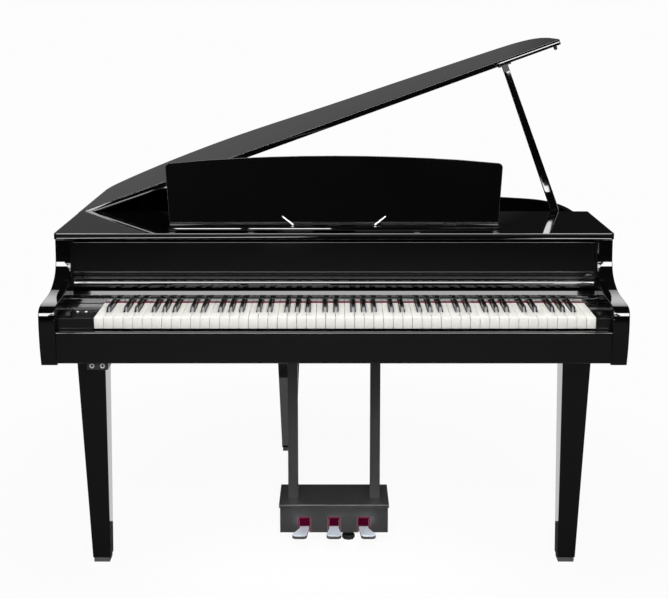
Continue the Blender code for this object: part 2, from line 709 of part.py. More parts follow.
def make_fallboard():
    """The keyboard cover: a panel on a round barrel, a flap folded behind it, and its frame."""
    hinge = Vector((FRONT + FALLBOARD_HINGE_BACK, WHITE_TOP + FALLBOARD_HINGE_RISE))
    half = ARM_INNER - GAP - FALLBOARD_BLOCK - 2 * GAP
    face = FRONT + FALLBOARD_FACE
    rear = face + FALLBOARD_THICKNESS
    top = TOP_UNDERSIDE - FALLBOARD_SHORTFALL
    # The face steps forward in two ridges down to the round barrel
    steps = [(0.0, 0.0335), (-0.0020, 0.0325), (-0.0020, 0.0280), (-0.0005, 0.0265),
             (-0.0005, 0.0195), (-0.0040, 0.0175), (-0.0050, 0.0125)]
    panel = [(rear, top), (face + 0.001, top), (face, top - 0.001)]
    panel += [(face + out, hinge.y + up) for out, up in steps]
    panel += arc(hinge, FALLBOARD_BARREL, 150, 280, 9)
    panel += [(hinge.x + 0.003, hinge.y - 0.008), (rear, hinge.y - 0.003)]
    board = extruded("fallboard", panel, "YZ", -half, half, EBONY)
    hinged_at(board, (0, *hinge))

    fold = Vector((rear + GAP, top))
    flap = [(fold.x + GAP, fold.y - 0.0005), (fold.x + GAP, fold.y - FLAP_HEIGHT + 0.001),
            (fold.x + 0.001 + GAP, fold.y - FLAP_HEIGHT),
            (fold.x + FLAP_THICKNESS - 0.002, fold.y - FLAP_HEIGHT),
            (fold.x + FLAP_THICKNESS, fold.y - FLAP_HEIGHT + 0.002),
            (fold.x + FLAP_THICKNESS, fold.y - 0.0015), (fold.x + FLAP_THICKNESS - 0.001, fold.y - 0.0005)]
    leaf = extruded("fallboard_flap", flap, "YZ", -half, half, EBONY)
    hinged_at(leaf, (0, *fold))
    leaf.parent = board
    leaf.location = (0, fold.x - hinge.x, fold.y - hinge.y)

    strip = FRONT + STRIP_FACE
    back = FRONT + RAIL_BACK
    low = STICK_TOP + 0.002
    ledge = strip + 0.0012
    # A glossy strip over the felt, a dark edge above it, then a slope up to a raised lip
    rail = [(strip, low), (strip, STRIP_SHOULDER - 0.0005), (ledge, STRIP_SHOULDER + 0.0008),
            (ledge, RAIL_TOP - 0.006), (ledge + 0.005, RAIL_TOP + RAIL_LIP),
            (strip + 0.010, RAIL_TOP), (back, RAIL_TOP), (back, STRIP_SHOULDER),
            (strip + STRIP_THICKNESS, STRIP_SHOULDER), (strip + STRIP_THICKNESS, low)]
    slot = ARM_INNER - GAP
    frame = extruded("fallboard_frame", rail, "YZ", -slot, slot, EBONY)
    blocks = []
    for x0, x1 in ((GAP - slot, FALLBOARD_BLOCK - slot), (slot - FALLBOARD_BLOCK, slot - GAP)):
        blocks.append(box("block", (x0, strip + 0.0135, RAIL_TOP - 0.007),
                          (x1, back - 0.0005, TOP_UNDERSIDE - GAP), SATIN))
    boolean(frame, "UNION", joined("fallboard_blocks", blocks))


def make_music_rest():
    """The music rest on its ledge, its stay and the two page clips."""
    hinge = Vector((0, FRONT + REST_HINGE[0], CASE_HEIGHT + REST_HINGE[1]))
    low = CASE_HEIGHT + LEDGE_FOOT
    high = low + LEDGE_THICKNESS
    near = FRONT + LEDGE_FRONT
    bar = HINGE_RADIUS
    half = REST_WIDTH / 2 - REST_NARROWING
    ledge = [(near, low), (near, high - 0.002), (near + 0.002, high), (hinge.y - bar, high),
             (hinge.y - bar, hinge.z - GAP), (hinge.y + bar, hinge.z - GAP), (hinge.y + bar, low)]
    shelf = extruded("music_ledge", ledge, "YZ", -half, half, EBONY)
    feet = []
    for x in (-half + 0.010, -LEDGE_FOOT_OFFSET, LEDGE_FOOT_OFFSET, half - 0.010):
        feet.append(box("foot", (x - LEDGE_FOOT_WIDTH / 2, near + 0.004, CASE_HEIGHT + GAP),
                        (x + LEDGE_FOOT_WIDTH / 2, hinge.y, low + 0.002), SATIN))
    boolean(shelf, "UNION", joined("ledge_feet", feet))
    seats = []
    knuckles = []
    for x in (-HINGE_OFFSET_X, 0.0, HINGE_OFFSET_X):
        seats.append(box("seat", (x - HINGE_LENGTH / 2 - GAP, hinge.y - 2 * bar, hinge.z - bar - GAP),
                         (x + HINGE_LENGTH / 2 + GAP, hinge.y + 2 * bar, hinge.z + bar), SATIN))
        knuckles.append(rod("knuckle", (x, 0, 0), bar, HINGE_LENGTH, "X", EBONY, 12))
    boolean(shelf, "DIFFERENCE", joined("hinge_seats", seats))

    base = 2 * GAP
    wide = REST_WIDTH / 2
    corner = REST_CORNER
    side = REST_HEIGHT - corner
    outline = [(-half, base), (half, base)]
    outline += arc((wide - corner, side), corner, 0, 80, 4)
    rise = REST_ARCH
    spread = wide - 2.5 * corner
    for k in range(1, 10):
        x = spread * (1 - k / 5)
        outline.append((x, REST_HEIGHT + rise * (1 - (x / wide) ** 2)))
    outline += arc((-wide + corner, side), corner, 100, 180, 4)
    rest = extruded("music_rest", outline, "XZ", -GAP - REST_THICKNESS, -GAP, EBONY)
    rounded(rest, 0.001, 1)
    boolean(rest, "UNION", joined("hinge_knuckles", knuckles))
    baked(rest)
    lean = Matrix.Rotation(-REST_LEAN, 4, "X")
    rest.matrix_world = Matrix.Translation(hinge) @ lean

    thick = STAY_THICKNESS
    stay = box("music_rest_stay", (-STAY_WIDTH / 2, -0.001, -thick / 2),
               (STAY_WIDTH / 2, STAY_LENGTH, thick / 2), SATIN)
    pivot = rest.matrix_world @ Vector((0, thick / 2 + 0.001, STAY_REACH))
    stay.matrix_world = Matrix.Translation(pivot) @ Matrix.Rotation(-STAY_ANGLE, 4, "X")
    bpy.context.view_layer.update()
    stay.parent = rest
    stay.matrix_parent_inverse = rest.matrix_world.inverted()

    for name, sign in (("page_clip_left", -1), ("page_clip_right", 1)):
        tip = (sign * CLIP_LENGTH * math.cos(CLIP_ANGLE), CLIP_LENGTH * math.sin(CLIP_ANGLE))
        outline = bar_outline((0, 0), tip, CLIP_RADIUS * 1.3, CLIP_RADIUS, 5)
        clip = extruded(name, outline, "XZ", -0.0015, 0.0015, STEEL)
        clip.location = (sign * CLIP_OFFSET, FRONT + CLIP_Y, high + GAP + CLIP_RADIUS * 1.3)


def make_lid():
    """The lid, drawn shut, then opened about its hinge on the spine, with its stay."""
    plan = case_path()
    hinge = Vector((-HALF + HINGE_OFFSET, 0, RIM_TOP + GAP + LID_BARREL))
    opened = Matrix.Translation(hinge) @ Matrix.Rotation(-LID_ANGLE, 4, "Y")
    outline = [(p.x, p.y) for p in plan]
    lid = extruded("lid", outline, "XY", LID_UNDERSIDE, CASE_HEIGHT, EBONY)
    lid.data.transform(Matrix.Translation(-hinge))
    rounded(lid, 0.002)
    lid.matrix_world = opened
    under = LID_UNDERSIDE - hinge.z

    leaf = [(hinge.x + 0.012, RIM_TOP + GAP), (hinge.x + 0.012, RIM_TOP + GAP + 0.0012)]
    leaf += arc((hinge.x, hinge.z), LID_BARREL, -28, 270, 12)
    extruded("lid_hinge", leaf, "XZ", plan[0].y + 0.010, plan[1].y - 0.010, STEEL)

    y = FRONT + PROP_Y
    pin = Vector((HALF - PROP_SETBACK - hinge.x, y, under - PROP_PIVOT_DROP))
    gap = PROP_THICKNESS / 2 + EAR_CLEARANCE
    reach = gap + EAR_THICKNESS
    long = SOCKET_LENGTH / 2
    socket = box("prop_socket", (pin.x - long, y - reach, under - GAP - SOCKET_THICKNESS),
                 (pin.x + long, y + reach, under - GAP), STEEL)
    ears = []
    for y0, y1 in ((y - reach, y - gap), (y + gap, y + reach)):
        ears.append(box("ear", (pin.x - 0.008, y0, pin.z - 0.006),
                        (pin.x + 0.008, y1, under - GAP - 0.001), STEEL))
    boolean(socket, "UNION", joined("socket_ears", ears))
    boolean(socket, "UNION", rod("socket_pin", pin, PIN_RADIUS, 2 * reach - 0.002, "Y", STEEL, 16))
    baked(socket)
    socket.matrix_world = opened

    bumper_x = HALF - RIM_INSET - RIM_THICKNESS / 2 - hinge.x
    height = RIM_DROP - 3 * GAP
    bumper = turned("lid_bumper", [(0, 0), (BUMPER_RADIUS, 0), (BUMPER_RADIUS, -height * 0.7),
                                   (BUMPER_RADIUS * 0.7, -height), (0, -height)],
                    (0, 0, 0), RUBBER, 16)
    bumper.matrix_world = opened @ Matrix.Translation((bumper_x, plan[0].y + 0.020, under - GAP))

    top = opened @ pin
    foot = Vector((HALF - PROP_FOOT_SETBACK, y, TOP_UNDERSIDE - PROP_FOOT_DROP))
    length = (foot - top).length
    shape = bar_outline((0, 0), (0, -length), PROP_TOP_WIDTH / 2, PROP_FOOT_WIDTH / 2)
    prop = extruded("lid_prop", shape, "XZ", -PROP_THICKNESS / 2, PROP_THICKNESS / 2, EBONY)
    boolean(prop, "DIFFERENCE", rod("prop_eye", (0, 0, 0), PIN_RADIUS + 2 * GAP, 0.03, "Y", STEEL, 16))
    baked(prop)
    lean = math.asin((foot.x - top.x) / length)
    prop.matrix_world = Matrix.Translation(top) @ Matrix.Rotation(-lean, 4, "Y")
    bpy.context.view_layer.update()
    for piece in (socket, bumper, prop):
        piece.parent = lid
        piece.matrix_parent_inverse = lid.matrix_world.inverted()

    x0 = foot.x - 0.023
    x1 = foot.x + 0.023
    web = foot.x + PROP_FOOT_WIDTH / 2 + 0.0045
    near = FRONT + TOP_BACK + GAP
    far = y + gap + 0.004
    clevis = [(x0, near), (x1, near), (x1, far), (x0, far), (x0, y + gap),
              (web, y + gap), (web, y - gap), (x0, y - gap)]
    extruded("prop_bracket", clevis, "XY", foot.z - 0.022, foot.z + 0.010, STEEL)


def make_legs():
    """Three tapered legs, each on a metal ferrule."""
    top = BED_UNDERSIDE - GAP
    foot = FERRULE_HEIGHT + GAP
    near = FRONT + LEG_FRONT
    inset_by = FERRULE_INSET
    for name, sign in (("left", -1), ("right", 1)):
        def span(width):
            inner = HALF - LEG_SETBACK
            return sorted((sign * inner, sign * (inner + width)))
        wide = span(LEG_TOP_WIDTH)
        thin = span(LEG_FOOT_WIDTH)
        leg = taper("leg_front_" + name, (*wide, near, near + LEG_TOP_DEPTH),
                    (*thin, near, near + LEG_FOOT_DEPTH), top, foot, EBONY)
        under_arm = span(HALF)
        if sign < 0:
            under_arm[1] = -ARM_INNER + GAP
        else:
            under_arm[0] = ARM_INNER - GAP
        boolean(leg, "DIFFERENCE", box("arm_rebate", (under_arm[0], near - 0.1, ARM_UNDERSIDE - GAP),
                                       (under_arm[1], near + 0.2, top + 0.01), SATIN))
        rounded(leg, 0.0015)
        ferrule = box("ferrule_front_" + name, (thin[0] + inset_by, near + inset_by, 0),
                      (thin[1] - inset_by, near + LEG_FOOT_DEPTH - inset_by, FERRULE_HEIGHT), STEEL)
        rounded(ferrule, 0.0008, 1)
    near = TAIL - REAR_LEG_FROM_TAIL
    far = near + LEG_FOOT_DEPTH
    x = REAR_LEG_FROM_SPINE - HALF
    wide = (x - REAR_LEG_TOP_WIDTH / 2, x + REAR_LEG_TOP_WIDTH / 2)
    thin = (x - LEG_FOOT_WIDTH / 2, x + LEG_FOOT_WIDTH / 2)
    leg = taper("leg_rear", (*wide, far - REAR_LEG_TOP_DEPTH, far), (*thin, near, far),
                top, foot, EBONY)
    rounded(leg, 0.0015)
    ferrule = box("ferrule_rear", (thin[0] + inset_by, near + inset_by, 0),
                  (thin[1] - inset_by, far - inset_by, FERRULE_HEIGHT), STEEL)
    rounded(ferrule, 0.0008, 1)


def pedal_outline(x, flare):
    """A pedal seen from above: a straight shank that widens evenly to a blunt tip."""
    shank = PEDAL_WIDTH / 2
    near = FRONT + BOX_FRONT
    tip_y = near - PEDAL_REACH
    wide = PEDAL_TIP_WIDTH / 2
    end = x + flare
    points = [(x + shank, near + AXLE_BACK), (x - shank, near + AXLE_BACK), (x - shank, near - 0.004)]
    points += arc((end - wide + 0.012, tip_y + 0.0155), 0.012, 170, 255, 5)
    points += arc((end + wide - 0.012, tip_y + 0.0155), 0.012, 285, 370, 5)
    return points + [(x + shank, near - 0.004)]


def make_pedals():
    """The pedal box on its two posts, three pedals on one axle, and the levelling foot."""
    near = FRONT + BOX_FRONT
    far = near + BOX_DEPTH
    half = BOX_WIDTH / 2
    low = BOX_UNDERSIDE
    high = low + BOX_HEIGHT
    places = (("left", -PEDAL_PITCH, -FLARE), ("middle", 0.0, 0.0), ("right", PEDAL_PITCH, FLARE))
    body = box("pedal_box", (-half, near, low), (half, far, high), SATIN)
    slot_top = low + SLOT_HEIGHT
    channels = [box("channel", (x - SLOT_WIDTH / 2, near - 0.01, low - 0.01),
                    (x + SLOT_WIDTH / 2, near + SLOT_LENGTH, slot_top), SATIN)
                for label, x, flare in places]
    boolean(body, "DIFFERENCE", joined("pedal_channels", channels))
    bore = rod("stem_bore", (ADJUSTER_X, FRONT + ADJUSTER_Y, low), STEM_RADIUS + 0.0005, 0.05,
               "Z", SATIN)
    boolean(body, "DIFFERENCE", bore)
    axle = Vector((0, near + AXLE_BACK, low + AXLE_RISE))
    boolean(body, "UNION", rod("pedal_axle", axle, AXLE_RADIUS, BOX_WIDTH - 0.02, "X", STEEL))
    cover = box("pedal_box_cover", (-half - COVER_OVERHANG, near - COVER_OVERHANG, high + GAP),
                (half + COVER_OVERHANG, far + COVER_OVERHANG, high + GAP + COVER_THICKNESS), SATIN)
    rounded(cover, 0.001, 1)
    top = high + 2 * GAP + COVER_THICKNESS
    for name, sign in (("lyre_post_left", -1), ("lyre_post_right", 1)):
        x = sign * POST_SPREAD
        y = FRONT + POST_Y
        post = box(name, (x - POST_WIDTH / 2, y - POST_WIDTH / 2, top),
                   (x + POST_WIDTH / 2, y + POST_WIDTH / 2, BED_UNDERSIDE - GAP), SATIN)
        rounded(post, 0.001, 1)

    for label, x, flare in places:
        z = low + PEDAL_RISE
        pedal = extruded("pedal_" + label, pedal_outline(x, flare), "XY",
                         z - PEDAL_THICKNESS / 2, z + PEDAL_THICKNESS / 2, SILVER)
        centre = (x, axle.y, axle.z)
        boolean(pedal, "UNION", rod("knuckle", centre, AXLE_RADIUS * 2.3, PEDAL_WIDTH, "X", SILVER))
        boolean(pedal, "DIFFERENCE", rod("eye", centre, AXLE_RADIUS + 2 * GAP, PEDAL_WIDTH + 0.01,
                                         "X", SILVER))
        baked(pedal)
        hinged_at(pedal, centre)
        edge = SLOT_WIDTH / 2 - GAP
        hole = edge - FELT_BORDER
        felt_top = slot_top - GAP
        frame = [(x - edge, low), (x - edge, felt_top), (x + edge, felt_top), (x + edge, low),
                 (x + hole, low), (x + hole, felt_top - FELT_BORDER),
                 (x - hole, felt_top - FELT_BORDER), (x - hole, low)]
        extruded("pedal_felt_" + label, frame, "XZ", near - 0.0015, near + 0.010, CRIMSON)

    rim = ADJUSTER_RADIUS
    height = ADJUSTER_HEIGHT
    stem_top = low + 0.018
    turned("pedal_adjuster", [(0, stem_top), (STEM_RADIUS, stem_top), (STEM_RADIUS, height + 0.003),
                              (STEM_RADIUS * 2, height), (rim - 0.002, height),
                              (rim, height - 0.002), (rim, 0.002), (rim - 0.002, 0), (0, 0)],
           (ADJUSTER_X, FRONT + ADJUSTER_Y, 0), RUBBER, 24)


def make_fittings():
    """The bass speaker over its hole in the bottom board and the headphone box under the keys."""
    x = WOOFER_FROM_SPINE - HALF
    y = TAIL - WOOFER_FROM_TAIL
    hole = rod("woofer_hole", (x, y, BED_TOP), WOOFER_HOLE, 0.2, "Z", SATIN, 32)
    boolean(bpy.data.objects["bottom_board"], "DIFFERENCE", hole)
    rim = WOOFER_RADIUS
    depth = WOOFER_DEPTH
    turned("woofer", [(0, depth), (rim * 0.41, depth), (rim * 0.41, depth * 0.65),
                      (rim * 0.85, depth * 0.12), (rim, 0.003), (rim, 0), (rim * 0.80, 0),
                      (rim * 0.35, depth * 0.40), (0, depth * 0.47)],
           (x, y, BED_TOP + GAP), PAPER_CONE, 32)
    wide, deep, tall = JACK_BOX_SIZE
    x = JACK_BOX_FROM_SIDE - HALF
    y = FRONT + JACK_BOX_FRONT
    top = BED_UNDERSIDE - GAP
    case = box("headphone_box", (x - wide / 2, y, top - tall), (x + wide / 2, y + deep, top), SATIN)
    rounded(case, 0.002, 1)


make_case()
make_cheeks()
make_keyboard()
make_fallboard()
make_music_rest()
make_lid()
make_legs()
make_pedals()
make_fittings()
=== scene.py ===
# %% [markdown]
# # A digital grand piano, dressed over its model
#
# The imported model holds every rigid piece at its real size, in metres, with +X towards
# the treble, +Y towards the tail and +Z up. This script keeps those pieces, gives each
# one a finish, and replaces those that deserve a finer surface: the lacquered boards,
# the keys, the felts, the pedals, the hinge and the speaker. It adds a few small pieces
# that the model leaves out, and the studio.

import math

import bmesh
import bpy
from mathutils import Matrix, Quaternion, Vector


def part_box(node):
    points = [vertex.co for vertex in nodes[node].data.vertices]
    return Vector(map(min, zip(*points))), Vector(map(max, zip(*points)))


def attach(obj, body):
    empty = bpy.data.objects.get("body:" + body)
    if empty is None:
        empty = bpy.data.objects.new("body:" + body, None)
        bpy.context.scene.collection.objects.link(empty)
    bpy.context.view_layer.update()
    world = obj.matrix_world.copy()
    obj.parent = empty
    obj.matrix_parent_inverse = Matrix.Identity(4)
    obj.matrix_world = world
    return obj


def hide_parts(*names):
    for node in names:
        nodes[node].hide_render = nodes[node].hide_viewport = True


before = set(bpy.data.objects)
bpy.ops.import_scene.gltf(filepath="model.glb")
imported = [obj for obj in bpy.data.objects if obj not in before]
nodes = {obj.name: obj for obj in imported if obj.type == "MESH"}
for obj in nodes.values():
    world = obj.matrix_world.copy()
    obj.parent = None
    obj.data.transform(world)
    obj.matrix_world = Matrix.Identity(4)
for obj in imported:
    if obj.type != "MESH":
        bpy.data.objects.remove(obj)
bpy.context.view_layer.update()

# %% [markdown]
# ## Sizes
#
# A keyboard is the same on every piano: fifty-two white keys at a fixed pitch, with the
# black keys a little off the joints. The frame tells where the middle octave lies, so
# the rest of the keyboard is counted out from its lowest key.

# %% Keyboard sizes
PITCH = 0.0235
SLOT = 0.001
HEAD = 0.050
BLACK_WIDE = 0.0112
BLACK_NARROW = 0.0088
BLACK_LONG = 0.0945
BLACK_RISE = 0.012
BLACK_LEAN = 0.0085
BLACK_SINK = 0.004
CORE_INSET = 0.0004
CORE_SHORT = 0.001
CORE_SINK = 0.0045
NOTCH_ROOM = 0.0011
STICK_STEP = 0.0115
STICK_LAP = 0.002
OCTAVE = 7 * PITCH
SHARP_SHIFT = {"A": 0.0024, "C": -0.0018, "D": 0.0018, "F": -0.0026, "G": 0.0}

c_low, c_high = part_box("key_c")
OCTAVE_LEFT = c_low.x - SLOT / 2
KEY_NEAR = c_low.y
KEY_END = c_high.y
KEY_TOP = c_high.z
KEY_FOOT = c_low.z
felt_low, felt_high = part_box("key_felt")
FELT_ROOM = 0.0016
FELT_NEAR = felt_low.y - FELT_ROOM
bass_low, bass_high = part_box("keys_bass")
treble_low, treble_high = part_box("keys_treble")
print("middle octave starts at x", round(OCTAVE_LEFT, 4), "key top", round(KEY_TOP, 4))


# %% [markdown]
# ## Small helpers
#
# Each new piece is a plain mesh whose place is in its own points, so that the object
# itself sits at the origin. These helpers make such a piece, round its edges with a
# Bevel modifier, and let it ride on the body that carries it. A modifier is always
# worked out, and its result kept as a plain mesh, before the piece is bound to a body.

# %% Helpers for meshes
def new_piece(name, bm):
    """An object at the origin from a bmesh."""
    mesh = bpy.data.meshes.new(name)
    bm.to_mesh(mesh)
    bm.free()
    made = bpy.data.objects.new(name, mesh)
    bpy.context.scene.collection.objects.link(made)
    return made


def settle(made):
    """Work out the modifiers, keep the result as a plain mesh and drop them."""
    bpy.context.view_layer.update()
    graph = bpy.context.evaluated_depsgraph_get()
    mesh = bpy.data.meshes.new_from_object(made.evaluated_get(graph))
    made.modifiers.clear()
    old = made.data
    made.data = mesh
    bpy.data.meshes.remove(old)
    return made


def dress(made, material, body, *replaced, slot=None):
    """Give a piece its finish, its body and the nodes it stands for."""
    made.data.materials.clear()
    made.data.materials.append(material)
    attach(made, body)
    if replaced:
        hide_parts(*replaced)
    faces = len(made.data.polygons)
    print(made.name, "rides on", body, "with", faces, "faces")
    return made


def second_finish(made, material, chosen):
    """Give another finish to those faces that a test picks out."""
    made.data.materials.append(material)
    for face in made.data.polygons:
        face.material_index = 1 if chosen(face) else 0


def moved(made, place):
    """Shift the points of a piece, so that the object itself stays at the origin."""
    made.data.transform(Matrix.Translation(place))
    return made


def soften(made, width, segments=2, angle=30):
    """Round the sharp edges of a piece and shade it smooth."""
    step = made.modifiers.new("rounding", "BEVEL")
    step.width = width
    step.segments = segments
    step.limit_method = "ANGLE"
    step.angle_limit = math.radians(angle)
    step.harden_normals = False
    settle(made)
    made.data.shade_smooth()
    made.data.set_sharp_from_angle(angle=math.radians(35))
    return made


WELD = 0.000002
FLAT = math.radians(0.4)


def refined(name, width=0.0, segments=3, angle=40):
    """A finer copy of a frame piece: one skin, softer edges and even reflections."""
    source = nodes[name]
    bm = bmesh.new()
    bm.from_mesh(source.data)
    bmesh.ops.transform(bm, matrix=source.matrix_world, verts=bm.verts)
    bmesh.ops.remove_doubles(bm, verts=bm.verts, dist=WELD)
    bmesh.ops.dissolve_limit(bm, angle_limit=FLAT, verts=bm.verts, edges=bm.edges)
    made = new_piece(name + "_finish", bm)
    made.data.shade_smooth()
    made.data.set_sharp_from_angle(angle=math.radians(angle))
    if width:
        step = made.modifiers.new("rounding", "BEVEL")
        step.width = width
        step.segments = segments
        step.limit_method = "ANGLE"
        step.angle_limit = math.radians(angle)
    even = made.modifiers.new("even_normals", "WEIGHTED_NORMAL")
    even.keep_sharp = not width
    return settle(made)


def block(bm, low, high):
    """Add a box between two corners to a bmesh and return its points."""
    made = bmesh.ops.create_cube(bm, size=1.0)["verts"]
    size = Vector(high) - Vector(low)
    bmesh.ops.scale(bm, vec=size, verts=made)
    bmesh.ops.translate(bm, vec=(Vector(high) + Vector(low)) / 2, verts=made)
    return made


# %% [markdown]
# ## Finishes
#
# Piano black is a thick, clear polyester over black. It is nearly pure black by itself,
# and all that is seen of it is what it mirrors, so its finish is a low colour, a low
# roughness and the faintest waviness, like the skin of still water. The satin parts
# are the same black with the gloss rubbed down.
#
# Every finish is one Principled shader whose colour, roughness or relief is varied a
# little by noise, because no real surface is even. A picture could do the same, but it
# would have to be fitted to each mesh, while noise follows the object's own coordinates.

# %% A helper for node trees
def fresh(name, colour, roughness, metallic=0.0):
    """A new material with one Principled shader; returns (material, tree, shader)."""
    made = bpy.data.materials.new(name)
    made.use_nodes = True
    tree = made.node_tree
    shader = tree.nodes["Principled BSDF"]
    shader.inputs["Base Color"].default_value = (*colour, 1.0)
    shader.inputs["Roughness"].default_value = roughness
    shader.inputs["Metallic"].default_value = metallic
    return made, tree, shader


def noise(tree, scale, detail=3.0, stretch=(1.0, 1.0, 1.0)):
    """Noise on object coordinates, stretched along the axes."""
    place = tree.nodes.new("ShaderNodeTexCoord")
    mapping = tree.nodes.new("ShaderNodeMapping")
    mapping.inputs["Scale"].default_value = stretch
    made = tree.nodes.new("ShaderNodeTexNoise")
    made.inputs["Scale"].default_value = scale
    made.inputs["Detail"].default_value = detail
    tree.links.new(place.outputs["Object"], mapping.inputs["Vector"])
    tree.links.new(mapping.outputs["Vector"], made.inputs["Vector"])
    return made


def spread(tree, source, low, high, start=0.3, stop=0.7):
    """Map a value onto a range; noise runs from about 0.3 to 0.7."""
    made = tree.nodes.new("ShaderNodeMapRange")
    made.inputs["From Min"].default_value = start
    made.inputs["From Max"].default_value = stop
    made.inputs["To Min"].default_value = low
    made.inputs["To Max"].default_value = high
    tree.links.new(source, made.inputs["Value"])
    return made.outputs["Result"]


def tint(tree, source, dark, light):
    """Mix two colours by a value."""
    made = tree.nodes.new("ShaderNodeMix")
    made.data_type = "RGBA"
    made.inputs["A"].default_value = (*dark, 1.0)
    made.inputs["B"].default_value = (*light, 1.0)
    tree.links.new(source, made.inputs["Factor"])
    return made.outputs["Result"]


def relief(tree, shader, source, distance, strength=0.5):
    """Drive the shader's normal with a bump."""
    made = tree.nodes.new("ShaderNodeBump")
    made.inputs["Strength"].default_value = strength
    made.inputs["Distance"].default_value = distance
    tree.links.new(source, made.inputs["Height"])
    tree.links.new(made.outputs["Normal"], shader.inputs["Normal"])


# %% Piano black
def piano_black(name="polished_ebony", waviness=0.08, index=1.5):
    """Mirror-polished black polyester with a faint waviness."""
    made, tree, shader = fresh(name, (0.0018, 0.0018, 0.0021), 0.025)
    shader.inputs["IOR"].default_value = index
    haze = noise(tree, 7.0, 4.0)
    tree.links.new(spread(tree, haze.outputs["Fac"], 0.015, 0.035), shader.inputs["Roughness"])
    wave = noise(tree, 16.0, 1.0)
    relief(tree, shader, wave.outputs["Fac"], 0.00006, waviness)
    return made


# %% Satin black
def satin_black(name="satin_black", level=0.016, roughness=0.38, shine=0.5):
    """Lacquer rubbed down to a soft sheen, with a fine tooth."""
    made, tree, shader = fresh(name, (level, level, level * 1.03), roughness)
    shader.inputs["Specular IOR Level"].default_value = shine
    patch = noise(tree, 12.0, 3.0)
    tree.links.new(spread(tree, patch.outputs["Fac"], roughness - 0.05, roughness + 0.06),
                   shader.inputs["Roughness"])
    tooth = noise(tree, 900.0, 2.0)
    relief(tree, shader, tooth.outputs["Fac"], 0.00004, 0.5)
    return made


# %% [markdown]
# ## Keytops
#
# The white keytops are resin with a silky sheen, a little warmer than paper, and the
# black ones are darker and smoother. Both have a grain that runs along the key. It is
# noise again, drawn out along Y by the Mapping node.

# %% Keytops
def ivory_top():
    """White keytop resin with a hardly visible grain along the key."""
    made, tree, shader = fresh("white_keytop", (0.80, 0.79, 0.74), 0.34)
    grain = noise(tree, 90.0, 5.0, (1.0, 0.06, 1.0))
    shade = spread(tree, grain.outputs["Fac"], 0.0, 1.0)
    tree.links.new(tint(tree, shade, (0.80, 0.785, 0.735), (0.84, 0.83, 0.785)),
                   shader.inputs["Base Color"])
    tree.links.new(spread(tree, grain.outputs["Fac"], 0.30, 0.38), shader.inputs["Roughness"])
    relief(tree, shader, grain.outputs["Fac"], 0.00002, 0.3)
    return made


def ebony_top():
    """Black keytop with a fine grain that keeps fingers from slipping."""
    made, tree, shader = fresh("black_keytop", (0.006, 0.0063, 0.006), 0.13)
    grain = noise(tree, 260.0, 4.0, (1.0, 0.05, 1.0))
    shade = spread(tree, grain.outputs["Fac"], 0.0, 1.0)
    tree.links.new(tint(tree, shade, (0.004, 0.0043, 0.004), (0.010, 0.0105, 0.010)),
                   shader.inputs["Base Color"])
    tree.links.new(spread(tree, grain.outputs["Fac"], 0.10, 0.16), shader.inputs["Roughness"])
    relief(tree, shader, grain.outputs["Fac"], 0.00004, 0.5)
    return made


# %% [markdown]
# ## Felt, metal, rubber and paper
#
# The small parts need a few more finishes. Felt is matt with short fibres. Bare metal
# shows fine polishing marks. Plating is softer, and the shader makes it only half
# metallic, so that it also takes light from the lamps that gloss doesn't see. Rubber
# and the paper of the speaker are plain dark surfaces with some relief.

# %% Felt, metal, rubber and paper
def crimson_felt(name, dark, light, sheen):
    """Dense wool felt: matt, with short fibres that catch the light at a slant."""
    made, tree, shader = fresh(name, dark, 0.95)
    fibre = noise(tree, 700.0, 6.0)
    shade = spread(tree, fibre.outputs["Fac"], 0.0, 1.0)
    tree.links.new(tint(tree, shade, dark, light), shader.inputs["Base Color"])
    shader.inputs["Specular IOR Level"].default_value = sheen
    shader.inputs["Sheen Weight"].default_value = sheen
    shader.inputs["Sheen Roughness"].default_value = 0.5
    relief(tree, shader, fibre.outputs["Fac"], 0.0004, 0.7)
    return made


def metal(name, colour, roughness, stretch=(1.0, 1.0, 1.0), scale=300.0):
    """Metal with fine polishing lines."""
    made, tree, shader = fresh(name, colour, roughness, 1.0)
    lines = noise(tree, scale, 3.0, stretch)
    tree.links.new(spread(tree, lines.outputs["Fac"], roughness - 0.05, roughness + 0.08),
                   shader.inputs["Roughness"])
    relief(tree, shader, lines.outputs["Fac"], 0.00001, 0.3)
    return made


def plated(name, colour):
    """Satin plating, worn to a soft silver that takes light from every side."""
    made, tree, shader = fresh(name, colour, 0.34, 0.55)
    lines = noise(tree, 300.0, 3.0, (1.0, 0.08, 1.0))
    tree.links.new(spread(tree, lines.outputs["Fac"], 0.28, 0.40), shader.inputs["Roughness"])
    relief(tree, shader, lines.outputs["Fac"], 0.00001, 0.3)
    return made


def rubber_black():
    """Matt black rubber."""
    made, tree, shader = fresh("rubber", (0.018, 0.018, 0.018), 0.75)
    tooth = noise(tree, 500.0, 3.0)
    relief(tree, shader, tooth.outputs["Fac"], 0.00006, 0.5)
    return made


def cone_paper():
    """Pressed paper pulp, dark and slightly mottled."""
    made, tree, shader = fresh("speaker_cone", (0.03, 0.03, 0.031), 0.8)
    pulp = noise(tree, 220.0, 6.0)
    shade = spread(tree, pulp.outputs["Fac"], 0.0, 1.0)
    tree.links.new(tint(tree, shade, (0.02, 0.02, 0.021), (0.05, 0.05, 0.052)),
                   shader.inputs["Base Color"])
    relief(tree, shader, pulp.outputs["Fac"], 0.0002, 0.5)
    return made


# %% [markdown]
# Each finish is made once here and shared by all the pieces that have it. The glossy
# strip over the keys has a higher index of refraction than the rest of the lacquer,
# so it mirrors more strongly, as it does in the photograph.

